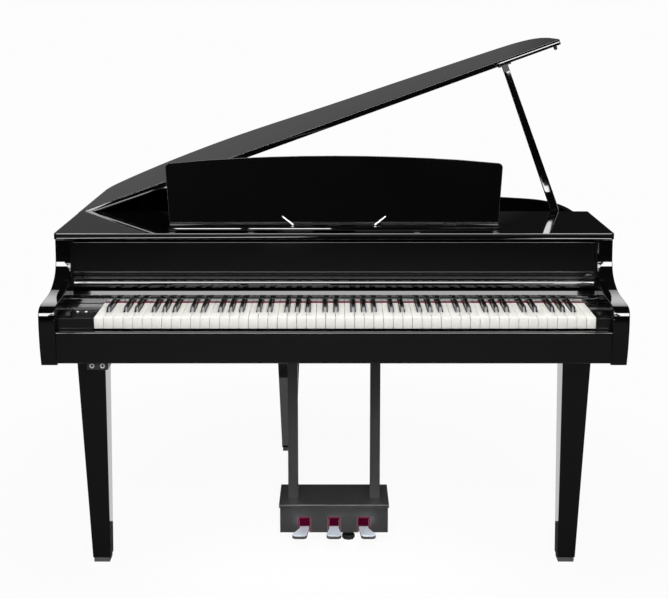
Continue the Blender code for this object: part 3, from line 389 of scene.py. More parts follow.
# %% The finishes of this piano
EBONY = piano_black()
SATIN = satin_black()
INNER = satin_black("inner_black", 0.010, 0.55)
UNIT = satin_black("pedal_unit_black", 0.020, 0.40)
KNOB = satin_black("knob_black", 0.020, 0.30)
CHEEK = satin_black("cheek_black", 0.007, 0.12, 0.25)
# A lighter grey, painted on the music rest's lower edge as a highlight.
PAINTED_EDGE_HIGHLIGHT = satin_black("painted_edge_highlight", 0.10, 0.30)
IVORY = ivory_top()
SHARP = ebony_top()
PEDAL_METAL = plated("plated_pedal", (0.70, 0.77, 0.86))
# A darker steel for the pedals' sides and underside: painted shade.
PEDAL_FLANK_SHADE = metal("pedal_flank_painted_shade", (0.30, 0.31, 0.33), 0.16)
STRIP = piano_black("glossy_strip", 0.06, 2.1)
BORDER_FELT = crimson_felt("border_felt", (0.075, 0.002, 0.014), (0.13, 0.004, 0.026), 0.1)
# The same felt, much darker, as painted shade deep in the pedal slots.
FELT_IN_SHADE = crimson_felt("felt_painted_shade", (0.022, 0.0005, 0.005), (0.045, 0.001, 0.010), 0.0)
BRIGHT = plated("bright_steel", (0.95, 0.95, 0.95))
DARK_STEEL = metal("dark_steel", (0.16, 0.16, 0.17), 0.35)
FERRULE = metal("ferrule_metal", (0.34, 0.34, 0.35), 0.32, (1.0, 1.0, 0.1))
RUBBER = rubber_black()
CONE = cone_paper()
print("finishes:", len(bpy.data.materials))

# %% [markdown]
# ## Pieces that stay as they are
#
# Most of the case is flat board, and the frame already has its real outline and rounded
# edges. These pieces only need a finish, which is put on the frame's own mesh.

# %% Finishes on the frame's own pieces
FINISH_OF = {
    "bottom_board": INNER, "front_beam": INNER, "music_rest_stay": SATIN, "headphone_box": SATIN,
    "key_frame": INNER, "volume_slider": KNOB, "power_button": KNOB, "prop_socket": INNER,
    "prop_bracket": DARK_STEEL, "lid_bumper": RUBBER,
}
for name, material in FINISH_OF.items():
    mesh = nodes[name].data
    mesh.materials.clear()
    mesh.materials.append(material)
print("finished nodes:", len(FINISH_OF))

# %% [markdown]
# ## The white keys
#
# A white key is a broad head in front and a narrower tail that passes between the black
# keys. Seen from above it is one outline with a notch on one side or on both, so each
# key is drawn as that outline, given its height, and rounded at its edges. Behind the
# tail a plain lower stick runs on under the felt. The first and the last key have no
# black neighbour on their outer side, and there the tail stays as wide as the head.

# %% One white key
def has_sharp(letter):
    """True if a black key follows this white key."""
    return letter in SHARP_SHIFT


def key_sides(letter, left):
    """Left and right side of a white key's tail, between its black neighbours."""
    before = "ABCDEFG"["ABCDEFG".index(letter) - 1]
    low = left + SLOT / 2
    high = left + PITCH - SLOT / 2
    tail_low = low
    tail_high = high
    if has_sharp(before):
        tail_low = left + SHARP_SHIFT[before] + BLACK_WIDE / 2 + NOTCH_ROOM
    if has_sharp(letter):
        tail_high = left + PITCH + SHARP_SHIFT[letter] - BLACK_WIDE / 2 - NOTCH_ROOM
    return low, high, tail_low, tail_high


def white_key(bm, letter, left, plain_low=False, plain_high=False):
    """Add one white key: a plate with the outline of head and tail, and its stick."""
    low, high, tail_low, tail_high = key_sides(letter, left)
    if plain_low:
        tail_low = low
    if plain_high:
        tail_high = high
    head = KEY_NEAR + HEAD
    outline = [(low, KEY_NEAR), (high, KEY_NEAR), (high, head)]
    if tail_high < high:
        outline.append((tail_high, head))
    outline += [(tail_high, FELT_NEAR), (tail_low, FELT_NEAR)]
    if tail_low > low:
        outline.append((tail_low, head))
    outline.append((low, head))
    floor = [bm.verts.new((x, y, KEY_FOOT)) for x, y in outline]
    face = bm.faces.new(floor)
    raised = bmesh.ops.extrude_face_region(bm, geom=[face])["geom"]
    lifted = [item for item in raised if isinstance(item, bmesh.types.BMVert)]
    bmesh.ops.translate(bm, vec=(0, 0, KEY_TOP - KEY_FOOT), verts=lifted)
    block(bm, (tail_low, FELT_NEAR - STICK_LAP, KEY_FOOT), (tail_high, KEY_END, KEY_TOP - STICK_STEP))


def white_run(name, letters, left, plain_low=False, plain_high=False):
    """A row of white keys as one piece."""
    bm = bmesh.new()
    last = len(letters) - 1
    for i, letter in enumerate(letters):
        white_key(bm, letter, left + i * PITCH, plain_low and i == 0, plain_high and i == last)
    bmesh.ops.recalc_face_normals(bm, faces=bm.faces)
    return soften(new_piece(name, bm), 0.0006, 3)


# %% [markdown]
# ## The black keys
#
# A black key is a tapered bar: its sides lean in towards the top and its front slopes
# back. It is a box whose upper points are moved in, with generously rounded edges. A
# narrower core carries it down between the white keys, and its stick runs on behind.

# %% One black key
def black_key(bm, x):
    """Add one black key with leaning sides and a sloping front."""
    near = FELT_NEAR - BLACK_LONG
    top = KEY_TOP + BLACK_RISE
    body = block(bm, (x - BLACK_WIDE / 2, near, KEY_TOP - BLACK_SINK),
                 (x + BLACK_WIDE / 2, FELT_NEAR, top))
    for vert in body:
        if vert.co.z > KEY_TOP:
            vert.co.x = x + (vert.co.x - x) * BLACK_NARROW / BLACK_WIDE
            if vert.co.y < near + CORE_SHORT:
                vert.co.y += BLACK_LEAN
    left = x - BLACK_WIDE / 2 + CORE_INSET
    right = x + BLACK_WIDE / 2 - CORE_INSET
    block(bm, (left, near + CORE_SHORT, KEY_FOOT), (right, FELT_NEAR - CORE_SHORT, KEY_TOP - CORE_SINK))
    block(bm, (left, FELT_NEAR - STICK_LAP, KEY_FOOT), (right, KEY_END, KEY_TOP - STICK_STEP))


def black_run(name, letters, left):
    """The black keys of a row of white keys as one piece."""
    bm = bmesh.new()
    for i, letter in enumerate(letters):
        if has_sharp(letter):
            black_key(bm, left + (i + 1) * PITCH + SHARP_SHIFT[letter])
    return soften(new_piece(name, bm), 0.0014, 4)


# %% [markdown]
# ## Repeating the octave
#
# Below and above the middle octave the same twelve keys come back every seven white
# keys. A Geometry Nodes tree sets copies of one piece along a line or round a ring,
# makes them real and gives them their finish. Its inputs are named, so the count and
# the spacing can be read on the modifier. The same tree serves the speaker's screws
# and the knuckles of the hinge further on.

# %% The repeater
def copies_tree(name, material, layout):
    """A tree that sets its input on a ring, or on a line along X or Y, with one finish."""
    tree = bpy.data.node_groups.new(name, "GeometryNodeTree")
    ports = tree.interface
    ports.new_socket("Piece", in_out="INPUT", socket_type="NodeSocketGeometry")
    count = ports.new_socket("Copies", in_out="INPUT", socket_type="NodeSocketInt")
    size = ports.new_socket("Step or radius", in_out="INPUT", socket_type="NodeSocketFloat")
    ports.new_socket("Pieces", in_out="OUTPUT", socket_type="NodeSocketGeometry")
    enter = tree.nodes.new("NodeGroupInput")
    leave = tree.nodes.new("NodeGroupOutput")
    link = tree.links.new
    if layout == "ring":
        places = tree.nodes.new("GeometryNodeMeshCircle")
        link(enter.outputs["Copies"], places.inputs["Vertices"])
        link(enter.outputs["Step or radius"], places.inputs["Radius"])
    else:
        offset = tree.nodes.new("ShaderNodeCombineXYZ")
        places = tree.nodes.new("GeometryNodeMeshLine")
        link(enter.outputs["Step or radius"], offset.inputs[layout])
        link(enter.outputs["Copies"], places.inputs["Count"])
        link(offset.outputs["Vector"], places.inputs["Offset"])
    copies = tree.nodes.new("GeometryNodeInstanceOnPoints")
    real = tree.nodes.new("GeometryNodeRealizeInstances")
    finish = tree.nodes.new("GeometryNodeSetMaterial")
    finish.inputs["Material"].default_value = material
    link(places.outputs["Mesh"], copies.inputs["Points"])
    link(enter.outputs["Piece"], copies.inputs["Instance"])
    link(copies.outputs["Instances"], real.inputs["Geometry"])
    link(real.outputs["Geometry"], finish.inputs["Geometry"])
    link(finish.outputs["Geometry"], leave.inputs["Pieces"])
    return tree, count.identifier, size.identifier


def repeated(made, layout, material, copies, size):
    """Repeat a piece on a ring or along an axis, as a plain mesh with one finish."""
    tree, count_id, size_id = copies_tree("repeat_" + made.name, material, layout)
    step = made.modifiers.new("copies", "NODES")
    step.node_group = tree
    step[count_id] = copies
    step[size_id] = size
    made.data.materials.clear()
    made.data.materials.append(material)
    return settle(made)


def merged(name, *parts):
    """Join several pieces into one."""
    bm = bmesh.new()
    for part in parts:
        bm.from_mesh(part.data)
        bpy.data.objects.remove(part, do_unlink=True)
    return new_piece(name, bm)


# %% [markdown]
# ## The fixed keys
#
# On the bass side two white keys and a black one come before the first full octave, and
# on the treble side one white key follows the last. These ends are made by the same
# functions as the octave, and merged with it into one white and one black piece.

# %% The fixed keys, bass and treble
bass_left = OCTAVE_LEFT - 3 * OCTAVE
bass_white = merged(
    "bass_white_keys",
    white_run("low_whites", "AB", bass_left - 2 * PITCH, plain_low=True),
    repeated(white_run("bass_octave", "CDEFGAB", bass_left), "X", IVORY, 3, OCTAVE),
)
bass_black = merged(
    "bass_black_keys",
    black_run("low_blacks", "A", bass_left - 2 * PITCH),
    repeated(black_run("bass_sharps", "CDEFGAB", bass_left), "X", SHARP, 3, OCTAVE),
)
treble_left = OCTAVE_LEFT + OCTAVE
treble_white = merged(
    "treble_white_keys",
    repeated(white_run("treble_octave", "CDEFGAB", treble_left), "X", IVORY, 3, OCTAVE),
    white_run("top_white", "C", treble_left + 3 * OCTAVE, plain_high=True),
)
treble_black = repeated(black_run("treble_black_keys", "CDEFGAB", treble_left), "X", SHARP, 3, OCTAVE)


# %% [markdown]
# The model joins the fixed keys with their stretch of the key frame in one solid. The
# pieces that stand for that solid have to bring the stretch too, so it is made here from
# three plain blocks: the tray, the guide rail near its front and the balance rail.

# %% The stretches of key frame under the fixed keys
TRAY_THICK = 0.0137
RAIL_ROOT = 0.010
GUIDE_NEAR = 0.008
GUIDE_FAR = 0.030
GUIDE_ROOM = 0.0165
BALANCE_IN = 0.032
BALANCE_HALF = 0.003
BALANCE_ROOM = 0.0003


def frame_stretch(name, low, high):
    """A run of the tray under the keys, with its guide rail and its balance rail."""
    tray_low, tray_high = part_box("key_frame")
    foot = tray_low.z
    near = tray_low.y
    root = foot + RAIL_ROOT
    balance = tray_high.y - BALANCE_IN
    bm = bmesh.new()
    block(bm, (low.x, near, foot), (high.x, tray_high.y, foot + TRAY_THICK))
    block(bm, (low.x, near + GUIDE_NEAR, root), (high.x, near + GUIDE_FAR, KEY_FOOT - GUIDE_ROOM))
    block(bm, (low.x, balance - BALANCE_HALF, root),
          (high.x, balance + BALANCE_HALF, KEY_FOOT - BALANCE_ROOM))
    return soften(new_piece(name, bm), 0.0006, 2)


# %% Dress the keyboard
dress(bass_white, IVORY, "case", "keys_bass", slot="white_keytop")
dress(bass_black, SHARP, "case", slot="black_keytop")
dress(treble_white, IVORY, "case", "keys_treble", slot="white_keytop")
dress(treble_black, SHARP, "case", slot="black_keytop")
dress(frame_stretch("bass_key_frame", bass_low, bass_high), INNER, "case", slot="satin_black")
dress(frame_stretch("treble_key_frame", treble_low, treble_high), INNER, "case", slot="satin_black")

# %% [markdown]
# ## The middle octave
#
# In the middle octave each key rides on a body of its own, so that it can be played. It
# is drawn by the same functions, one key at a time, and so it matches its neighbours.

# %% The twelve keys that move
for i, letter in enumerate("CDEFGAB"):
    node = "key_" + letter.lower()
    left = OCTAVE_LEFT + i * PITCH
    dress(white_run(node + "_top", letter, left), IVORY, node, node, slot="white_keytop")
    if has_sharp(letter):
        sharp = node + "_sharp"
        dress(black_run(sharp + "_top", letter, left), SHARP, sharp, sharp, slot="black_keytop")

# %% [markdown]
# ## Lacquered boards
#
# A mirror finish shows every facet, so each lacquered piece gets a finer skin: the
# frame's own outline, welded, with its edges rounded where they are still sharp and
# with normals that keep the flats flat and let the curves flow. Three details are then
# picked out by the way their faces look: the strip over the keys is glossier, the rounded
# edge under and beside the music rest's front is painted a lighter grey as a highlight,
# and two narrow fronts are shaded quite flat.

# %% Skins for the lacquered pieces
SKINS = {
    "rim": 0.0, "left_arm": 0.0, "right_arm": 0.0, "top_board": 0.0, "lid": 0.0,
    "key_slip": 0.0005, "fallboard": 0.0004, "fallboard_flap": 0.0004,
    "fallboard_frame": 0.0010, "music_rest": 0.0, "music_ledge": 0.0005, "lid_prop": 0.0012,
    "leg_front_left": 0.0, "leg_front_right": 0.0, "leg_rear": 0.0,
}
SEGMENTS_AND_ANGLE = {"fallboard": (2, 25), "fallboard_frame": (4, 25)}
CARRIED_BY = {"lid": "lid", "lid_prop": "lid_prop", "fallboard": "fallboard",
              "fallboard_flap": "fallboard_flap", "music_rest": "music_rest"}
boards = {}
for name, width in SKINS.items():
    segments, angle = SEGMENTS_AND_ANGLE.get(name, (2, 40))
    boards[name] = dress(refined(name, width, segments, angle), EBONY,
                         CARRIED_BY.get(name, "case"), name, slot="polished_ebony")


# %% The glossy strip, the painted edge highlight and the flat fronts
STRIP_TOP = KEY_TOP + 0.0115


def on_strip(face):
    """True on the upright front of the strip that stands just over the keys."""
    return face.center.z < STRIP_TOP and face.normal.z < 0.3


def on_painted_edge_highlight(face):
    """True on the rounded edge under and beside the front of the music rest, painted lighter as a
    highlight.
    """
    turned_away = face.normal.z < -0.3 or abs(face.normal.x) > 0.3
    return turned_away and face.normal.y < -0.2


boards["fallboard_frame"].data.shade_flat()
second_finish(boards["fallboard_frame"], STRIP, on_strip)
# The music rest's rounded lower and side edge gets the painted highlight.
second_finish(boards["music_rest"], PAINTED_EDGE_HIGHLIGHT, on_painted_edge_highlight)
for name in ("top_board", "music_ledge"):
    for face in boards[name].data.polygons:
        face.use_smooth = face.normal.y > -0.9
print("strip top at", round(STRIP_TOP, 4))

# %% [markdown]
# The cheeks, the pedal unit, the ferrules of the legs and the page clips are skinned in
# the same way, each with its own rounding and finish.

# %% Skins for the satin and metal pieces
for name in ("left_cheek", "right_cheek"):
    dress(refined(name, 0.0006, 2), CHEEK, "case", name, slot="satin_black")
for name in ("pedal_box", "pedal_box_cover", "lyre_post_left", "lyre_post_right"):
    width = 0.0014 if name.startswith("pedal") else 0.0
    dress(refined(name, width, 2), UNIT, "case", name, slot="satin_black")
for name in ("ferrule_front_left", "ferrule_front_right", "ferrule_rear"):
    dress(refined(name, 0.0), FERRULE, "case", name, slot="dark_steel")
for name in ("page_clip_left", "page_clip_right"):
    dress(refined(name, 0.0008, 3), BRIGHT, name, name, slot="dark_steel")

# %% [markdown]
# ## The pedals
#
# Each pedal is a plated casting: a shank that disappears into a felt-lined slot and a
# tip that widens evenly. Its upper edge has a broad chamfer, which is what catches the
# light. Its sides and underside are a darker steel, as painted shade. Behind the felt
# border a curtain of the same felt, painted much darker as shade, closes the slot down
# to the pedal's back.

# %% Pedals
def on_painted_shade_flank(face):
    """True on the sides and the underside of a pedal, painted darker than its top as shade."""
    return face.normal.z <= 0.55


for side in ("left", "middle", "right"):
    name = "pedal_" + side
    pedal = dress(refined(name, 0.0030, 4), PEDAL_METAL, name, name, slot="plated_pedal")
    # The flanks take the darker steel as painted shade.
    second_finish(pedal, PEDAL_FLANK_SHADE, on_painted_shade_flank)


# %% [markdown]
# ## The felts
#
# Felt edges each slot of the pedal box, so that a moving pedal stays quiet. The border is
# one outline with a notch for the pedal, given its depth. The curtain behind it is made
# of three plain blocks, because little of it shows. Its felt is painted much darker, as
# shade inside the slot.

# %% Felt round the pedals
FELT_BORDER = 0.0035
CURTAIN_ROOM = 0.0002
CURTAIN_NEAR = 0.005
CURTAIN_FAR = 0.001
CURTAIN_HEM = 0.0008
CURTAIN_LAP = 0.0012
SHANK_HALF = 0.0126
SHANK_ROOM = 0.0005
SHANK_MIDDLE = 0.011
SHANK_HALF_HIGH = 0.0045
SHANK_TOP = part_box("pedal_box")[0].z + SHANK_MIDDLE + SHANK_HALF_HIGH


def slot_felt(side):
    """The felt border of one slot with the curtain behind it."""
    low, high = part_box("pedal_felt_" + side)
    middle = (low.x + high.x) / 2
    half = (high.x - low.x) / 2
    hole = half - FELT_BORDER
    near = low.y
    outer = [(-half, low.z), (-half, high.z), (half, high.z), (half, low.z)]
    inner = [(hole, low.z), (hole, high.z - FELT_BORDER), (-hole, high.z - FELT_BORDER), (-hole, low.z)]
    bm = bmesh.new()
    ring = [bm.verts.new((middle + x, near, z)) for x, z in outer + inner]
    face = bm.faces.new(ring)
    raised = bmesh.ops.extrude_face_region(bm, geom=[face])["geom"]
    back = [item for item in raised if isinstance(item, bmesh.types.BMVert)]
    bmesh.ops.translate(bm, vec=(0, high.y - near, 0), verts=back)
    bmesh.ops.recalc_face_normals(bm, faces=bm.faces)
    return soften(new_piece("slot_felt_" + side, bm), 0.0010, 3)


def slot_curtain(side):
    """The felt inside one slot: a curtain down to the pedal and a strip on either side."""
    low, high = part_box("pedal_felt_" + side)
    middle = (low.x + high.x) / 2
    hole = (high.x - low.x) / 2 - FELT_BORDER - CURTAIN_ROOM
    shank = SHANK_HALF + SHANK_ROOM
    near = high.y - CURTAIN_NEAR
    far = high.y - CURTAIN_FAR
    top = high.z - FELT_BORDER - CURTAIN_ROOM
    lap = SHANK_TOP + CURTAIN_LAP
    bm = bmesh.new()
    block(bm, (middle - hole, near, SHANK_TOP + CURTAIN_HEM), (middle + hole, far, top))
    block(bm, (middle - hole, near, low.z), (middle - shank, far, lap))
    block(bm, (middle + shank, near, low.z), (middle + hole, far, lap))
    return soften(new_piece("slot_curtain_" + side, bm), 0.0002, 1)


for side in ("left", "middle", "right"):
    dress(slot_felt(side), BORDER_FELT, "case", "pedal_felt_" + side, slot="crimson_felt")
    # The curtain takes the darker felt: painted shade inside the slot.
    dress(slot_curtain(side), FELT_IN_SHADE, "case", slot="crimson_felt")

# %% [markdown]
# The red line behind the keys is a strip of felt too. It lies over their sticks.

# %% The felt strip behind the keys
bm = bmesh.new()
block(bm, tuple(felt_low), tuple(felt_high))
dress(soften(new_piece("key_strip_felt", bm), 0.0010, 3), BORDER_FELT, "case", "key_felt",
      slot="crimson_felt")


# %% [markdown]
# ## The levelling foot
#
# The foot under the pedal box is a rubber knob with finger lobes on a stem. Its rim is
# a few rings of points whose radius waves as it goes round, joined by faces.

# %% The levelling foot
LOBES = 8
LOBE_DEPTH = 0.045
KNOB_ROWS = ((0.0, 0.90), (0.0015, 0.985), (0.0105, 0.985), (0.0128, 0.90))
KNOB_STEPS = 64
STEM_RADIUS = 0.005
STEM_FOOT = 0.012


def lobed_foot():
    """A knob whose rim waves in and out, on its stem."""
    low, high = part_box("pedal_adjuster")
    middle = (low + high) / 2
    reach = (high.x - low.x) / 2
    bm = bmesh.new()
    for height, share in KNOB_ROWS:
        for k in range(KNOB_STEPS):
            turn = math.tau * k / KNOB_STEPS
            radius = reach * share * (1 - LOBE_DEPTH + LOBE_DEPTH * math.cos(LOBES * turn))
            bm.verts.new((middle.x + radius * math.cos(turn), middle.y + radius * math.sin(turn), height))
    bm.verts.ensure_lookup_table()
    last = len(KNOB_ROWS) - 1
    for row in range(last):
        for k in range(KNOB_STEPS):
            a = row * KNOB_STEPS + k
            b = row * KNOB_STEPS + (k + 1) % KNOB_STEPS
            bm.faces.new([bm.verts[i] for i in (a, b, b + KNOB_STEPS, a + KNOB_STEPS)])
    bm.faces.new([bm.verts[k] for k in reversed(range(KNOB_STEPS))])
    bm.faces.new([bm.verts[last * KNOB_STEPS + k] for k in range(KNOB_STEPS)])
    stem = bmesh.ops.create_cone(bm, cap_ends=True, segments=24, radius1=STEM_RADIUS,
                                 radius2=STEM_RADIUS, depth=high.z - STEM_FOOT)["verts"]
    bmesh.ops.translate(bm, vec=(middle.x, middle.y, (high.z + STEM_FOOT) / 2), verts=stem)
    made = new_piece("levelling_foot", bm)
    made.data.shade_smooth()
    made.data.set_sharp_from_angle(angle=math.radians(40))
    return made


dress(lobed_foot(), RUBBER, "pedal_adjuster", "pedal_adjuster", slot="rubber")


# %% [markdown]
# ## The bass speaker
#
# A speaker is round, so a profile of radii and heights swept round an upright axis makes
# it. There are two: the basket with its magnet, and the membrane with its rolled
# surround, paper cone and dust cap. Spin can turn a mesh inside out, so its doubles are
# merged and its normals worked out anew.

# %% Turned pieces
def turned(name, profile, centre, steps=64):
    """A profile of (radius, height) points swept round an upright axis."""
    bm = bmesh.new()
    verts = [bm.verts.new((radius, 0.0, height)) for radius, height in profile]
    for pair in zip(verts, verts[1:]):
        bm.edges.new(pair)
    bmesh.ops.spin(bm, geom=bm.verts[:] + bm.edges[:], cent=(0, 0, 0), axis=(0, 0, 1),
                   angle=math.tau, steps=steps, use_merge=True)
    bmesh.ops.remove_doubles(bm, verts=bm.verts, dist=0.00001)
    bmesh.ops.recalc_face_normals(bm, faces=bm.faces)
    bmesh.ops.translate(bm, vec=centre, verts=bm.verts)
    made = new_piece(name, bm)
    made.data.shade_smooth()
    made.data.set_sharp_from_angle(angle=math.radians(40))
    return made


# %% The bass speaker
woofer_low, woofer_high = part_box("woofer")
woofer_place = Vector(((woofer_low.x + woofer_high.x) / 2, (woofer_low.y + woofer_high.y) / 2,
                       woofer_low.z))
RIM = (woofer_high.x - woofer_low.x) / 2
TALL = woofer_high.z - woofer_low.z
magnet = [(0.0, TALL), (RIM * 0.38, TALL), (RIM * 0.41, TALL * 0.97), (RIM * 0.41, TALL * 0.70),
          (RIM * 0.45, TALL * 0.66), (RIM * 0.84, TALL * 0.14), (RIM * 0.90, 0.0045),
          (RIM, 0.003), (RIM, 0.0), (RIM * 0.955, 0.0)]
dress(turned("speaker_basket", magnet, woofer_place), SATIN, "case", "woofer", slot="speaker_cone")
surround = [(RIM * (0.885 + 0.065 * math.cos(a)), 0.0005 + RIM * 0.05 * math.sin(a))
            for a in [math.pi * k / 12 for k in range(13)]]
cone = surround + [(RIM * 0.80, 0.0015), (RIM * 0.55, TALL * 0.20), (RIM * 0.32, TALL * 0.36)]
cap = [(RIM * 0.32 * math.cos(a), TALL * 0.36 + RIM * 0.10 * math.sin(a))
       for a in [math.pi / 2 * k / 8 for k in range(9)]]
dress(turned("speaker_membrane", cone + cap[1:], woofer_place), CONE, "case", slot="speaker_cone")


# %% [markdown]
# ## Screws and hinge
#
# The screws are one turned head, set round the rim by the repeater. The long hinge along
# the spine is a row of knuckles with a leaf: one rounded cylinder, repeated along Y, and
# a thin block.

# %% Screws round the speaker
def screw_head(name, radius, height):
    """A domed screw head with a small round recess, standing on z = 0."""
    dome = [(0.0, height * 0.75), (radius * 0.30, height * 0.75), (radius * 0.34, height),
            (radius * 0.80, height * 0.80), (radius, height * 0.3), (radius, 0.0), (0.0, 0.0)]
    return turned(name, dome, Vector((0, 0, 0)), 20)


RIM_THICK = 0.0025
rim_screws = repeated(screw_head("speaker_screws", 0.0035, 0.002), "ring", DARK_STEEL, 8, RIM * 0.95)
moved(rim_screws, woofer_place + Vector((0, 0, RIM_THICK)))
dress(rim_screws, DARK_STEEL, "case", slot="dark_steel")

# %% The long hinge of the lid
KNUCKLE = 0.030
KNUCKLE_GAP = 0.0008
LEAF_THICK = 0.0012
hinge_low, hinge_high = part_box("lid_hinge")
barrel = (hinge_high.z - hinge_low.z) / 2
axis_x = hinge_low.x + barrel
bm = bmesh.new()
knuckle = bmesh.ops.create_cone(bm, cap_ends=True, segments=24, radius1=barrel, radius2=barrel,
                                depth=KNUCKLE - KNUCKLE_GAP)["verts"]
bmesh.ops.rotate(bm, cent=(0, 0, 0), matrix=Matrix.Rotation(math.pi / 2, 3, "X"), verts=knuckle)
knuckles = soften(new_piece("hinge_knuckles", bm), 0.0006, 2)
run = hinge_high.y - hinge_low.y
number = int(run / KNUCKLE)
repeated(knuckles, "Y", DARK_STEEL, number, run / number)
moved(knuckles, Vector((axis_x, hinge_low.y + run / number / 2, hinge_low.z + barrel)))
dress(knuckles, DARK_STEEL, "case", "lid_hinge", slot="dark_steel")
bm = bmesh.new()
block(bm, (axis_x, hinge_low.y, hinge_low.z), (hinge_high.x, hinge_high.y, hinge_low.z + LEAF_THICK))
dress(soften(new_piece("hinge_leaf", bm), 0.0004, 2), DARK_STEEL, "case", slot="dark_steel")

# %% [markdown]
# Two sockets show as small bright rings on the front of the headphone box, and two
# round controls stand on the left cheek. They are turned from profiles as well.

# %% Headphone sockets and the two round controls
def ring_socket(name, place, radius, depth, turn):
    """The bush of a socket: a bright ring round an open hole."""
    wall = [(radius * 0.52, -depth), (radius * 0.52, depth * 0.7), (radius * 0.62, depth),
            (radius * 0.92, depth), (radius, depth * 0.7), (radius, -depth)]
    made = turned(name, wall, Vector((0, 0, 0)), 28)
    made.data.transform(Matrix.Translation(place) @ Matrix.Rotation(turn, 4, "X"))
    return made


BUSH_RADIUS = 0.0062
BUSH_DEPTH = 0.0020
BUSH_APART = 0.026
STUD_PROFILE = [(0.0, 0.0019), (0.0026, 0.0017), (0.0036, 0.0009), (0.0038, -0.0005)]
STUD_BACK = 0.066
jack_low, jack_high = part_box("headphone_box")
jack_middle = (jack_low + jack_high) / 2
bushes = []
for side in (-0.5, 0.5):
    spot = Vector((jack_middle.x + side * BUSH_APART, jack_low.y + 0.0005, jack_middle.z - 0.001))
    bushes.append(ring_socket("bush", spot, BUSH_RADIUS, BUSH_DEPTH, math.pi / 2))
dress(merged("headphone_sockets", *bushes), BRIGHT, "case", slot="dark_steel")
cheek_low, cheek_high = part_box("left_cheek")
studs = []
for across in (0.030, 0.051):
    spot = Vector((cheek_high.x - across, cheek_low.y + STUD_BACK, cheek_high.z))
    studs.append(turned("stud", STUD_PROFILE, spot, 28))
dress(merged("round_controls", *studs), BRIGHT, "case", slot="black_knob")

# %% [markdown]
# ## Camera
#
# The photograph was taken from in front, a little above the music rest, with a long
# lens and upright legs, which a camera gets by looking only slightly down and shifting
# its picture.

# %% The camera
LENS = 66.29
CAMERA_PLACE = (0.0, -3.5006, 1.5171)
LOOK_DOWN = math.radians(8.2656)
SHIFT_DOWN = -0.1781
view = bpy.data.cameras.new("photo_view")
view.lens = LENS
view.sensor_width = 36.0
view.shift_y = SHIFT_DOWN
view.clip_end = 60.0
camera = bpy.data.objects.new("photo_view", view)
camera.location = CAMERA_PLACE
camera.rotation_euler = (math.pi / 2 - LOOK_DOWN, 0.0, 0.0)
bpy.context.scene.collection.objects.link(camera)
bpy.context.scene.camera = camera
print("camera at", CAMERA_PLACE, "with a lens of", LENS)


# %% [markdown]
# ## Floor, sky and lamps
#
# Polished black shows its surroundings, so the studio is mostly dim, with a few large
# soft lamps where the photograph's highlights call for them. Only the camera itself
# sees the floor and the sky as white paper. The Light Path node tells its rays from all
# others, so one material can show it one shader and everything else another.

# %% What the camera sees and what all else sees
PAPER = 0.980


def mixed(tree, share, first, second):
    """Mix two shaders by a value."""
    made = tree.nodes.new("ShaderNodeMixShader")
    tree.links.new(share, made.inputs["Fac"])
    tree.links.new(first, made.inputs[1])
    tree.links.new(second, made.inputs[2])
    return made.outputs["Shader"]


def show_camera(tree, others, camera_view, output_type):
    """Show one shader to the camera and another to light and mirrors."""
    eye = tree.nodes.new("ShaderNodeLightPath")
    out = next(node for node in tree.nodes if node.type == output_type)
    chosen = mixed(tree, eye.outputs["Is Camera Ray"], others, camera_view)
    tree.links.new(chosen, out.inputs["Surface"])


# %% [markdown]
# The floor is white paper with only a trace of the piano's shadow. Near the piano a small
# share of a plain matt shader is mixed in, which takes the shadow. Further out there
# is none, so that the trace fades away.

# %% Floor
FLOOR_REACH = 14.0
SHADOW_FROM = 0.7
SHADOW_TO = 1.5
SHADOW_SHARE = 0.965
FLOOR_IN_MIRRORS = (0.16, 0.16, 0.16, 1.0)


def studio_floor():
    """A pale floor: white paper with a trace of shadow to the camera, dim in mirrors."""
    bm = bmesh.new()
    bmesh.ops.create_grid(bm, x_segments=8, y_segments=8, size=FLOOR_REACH)
    made = new_piece("studio_floor", bm)
    material, tree, shader = fresh("pale_floor", (0.90, 0.90, 0.90), 0.9)
    paper = tree.nodes.new("ShaderNodeEmission")
    paper.inputs["Color"].default_value = (PAPER, PAPER, PAPER, 1.0)
    place = tree.nodes.new("ShaderNodeTexCoord")
    away = tree.nodes.new("ShaderNodeVectorMath")
    away.operation = "LENGTH"
    tree.links.new(place.outputs["Object"], away.inputs[0])
    trace = spread(tree, away.outputs["Value"], SHADOW_SHARE, 1.0, SHADOW_FROM, SHADOW_TO)
    dim = tree.nodes.new("ShaderNodeBsdfDiffuse")
    dim.inputs["Color"].default_value = FLOOR_IN_MIRRORS
    shown = mixed(tree, trace, shader.outputs["BSDF"], paper.outputs["Emission"])
    show_camera(tree, dim.outputs["BSDF"], shown, "OUTPUT_MATERIAL")
    made.data.materials.append(material)


studio_floor()
print("floor reaches", FLOOR_REACH, "m each way")


# %% [markdown]
# The sky seems white to the camera. What the lacquer mirrors is a dim studio: a grey
# band low behind the piano, which fades out higher up and towards the right, and
# nearly nothing in front.

# %% Sky
STUDIO_GREY = 0.13
BAND_LEAN = 0.6
BAND_FOOT = 0.17
BAND_TOP = 0.26
ABOVE_BAND = 0.10
IN_FRONT = 0.15
SIDE_ZONE = 0.2


def reckon(tree, operation, first, second):
    """One step of arithmetic on two values."""
    made = tree.nodes.new("ShaderNodeMath")
    made.operation = operation
    for socket, value in zip(made.inputs, (first, second)):
        if isinstance(value, float):
            socket.default_value = value
        else:
            tree.links.new(value, socket)
    return made.outputs["Value"]


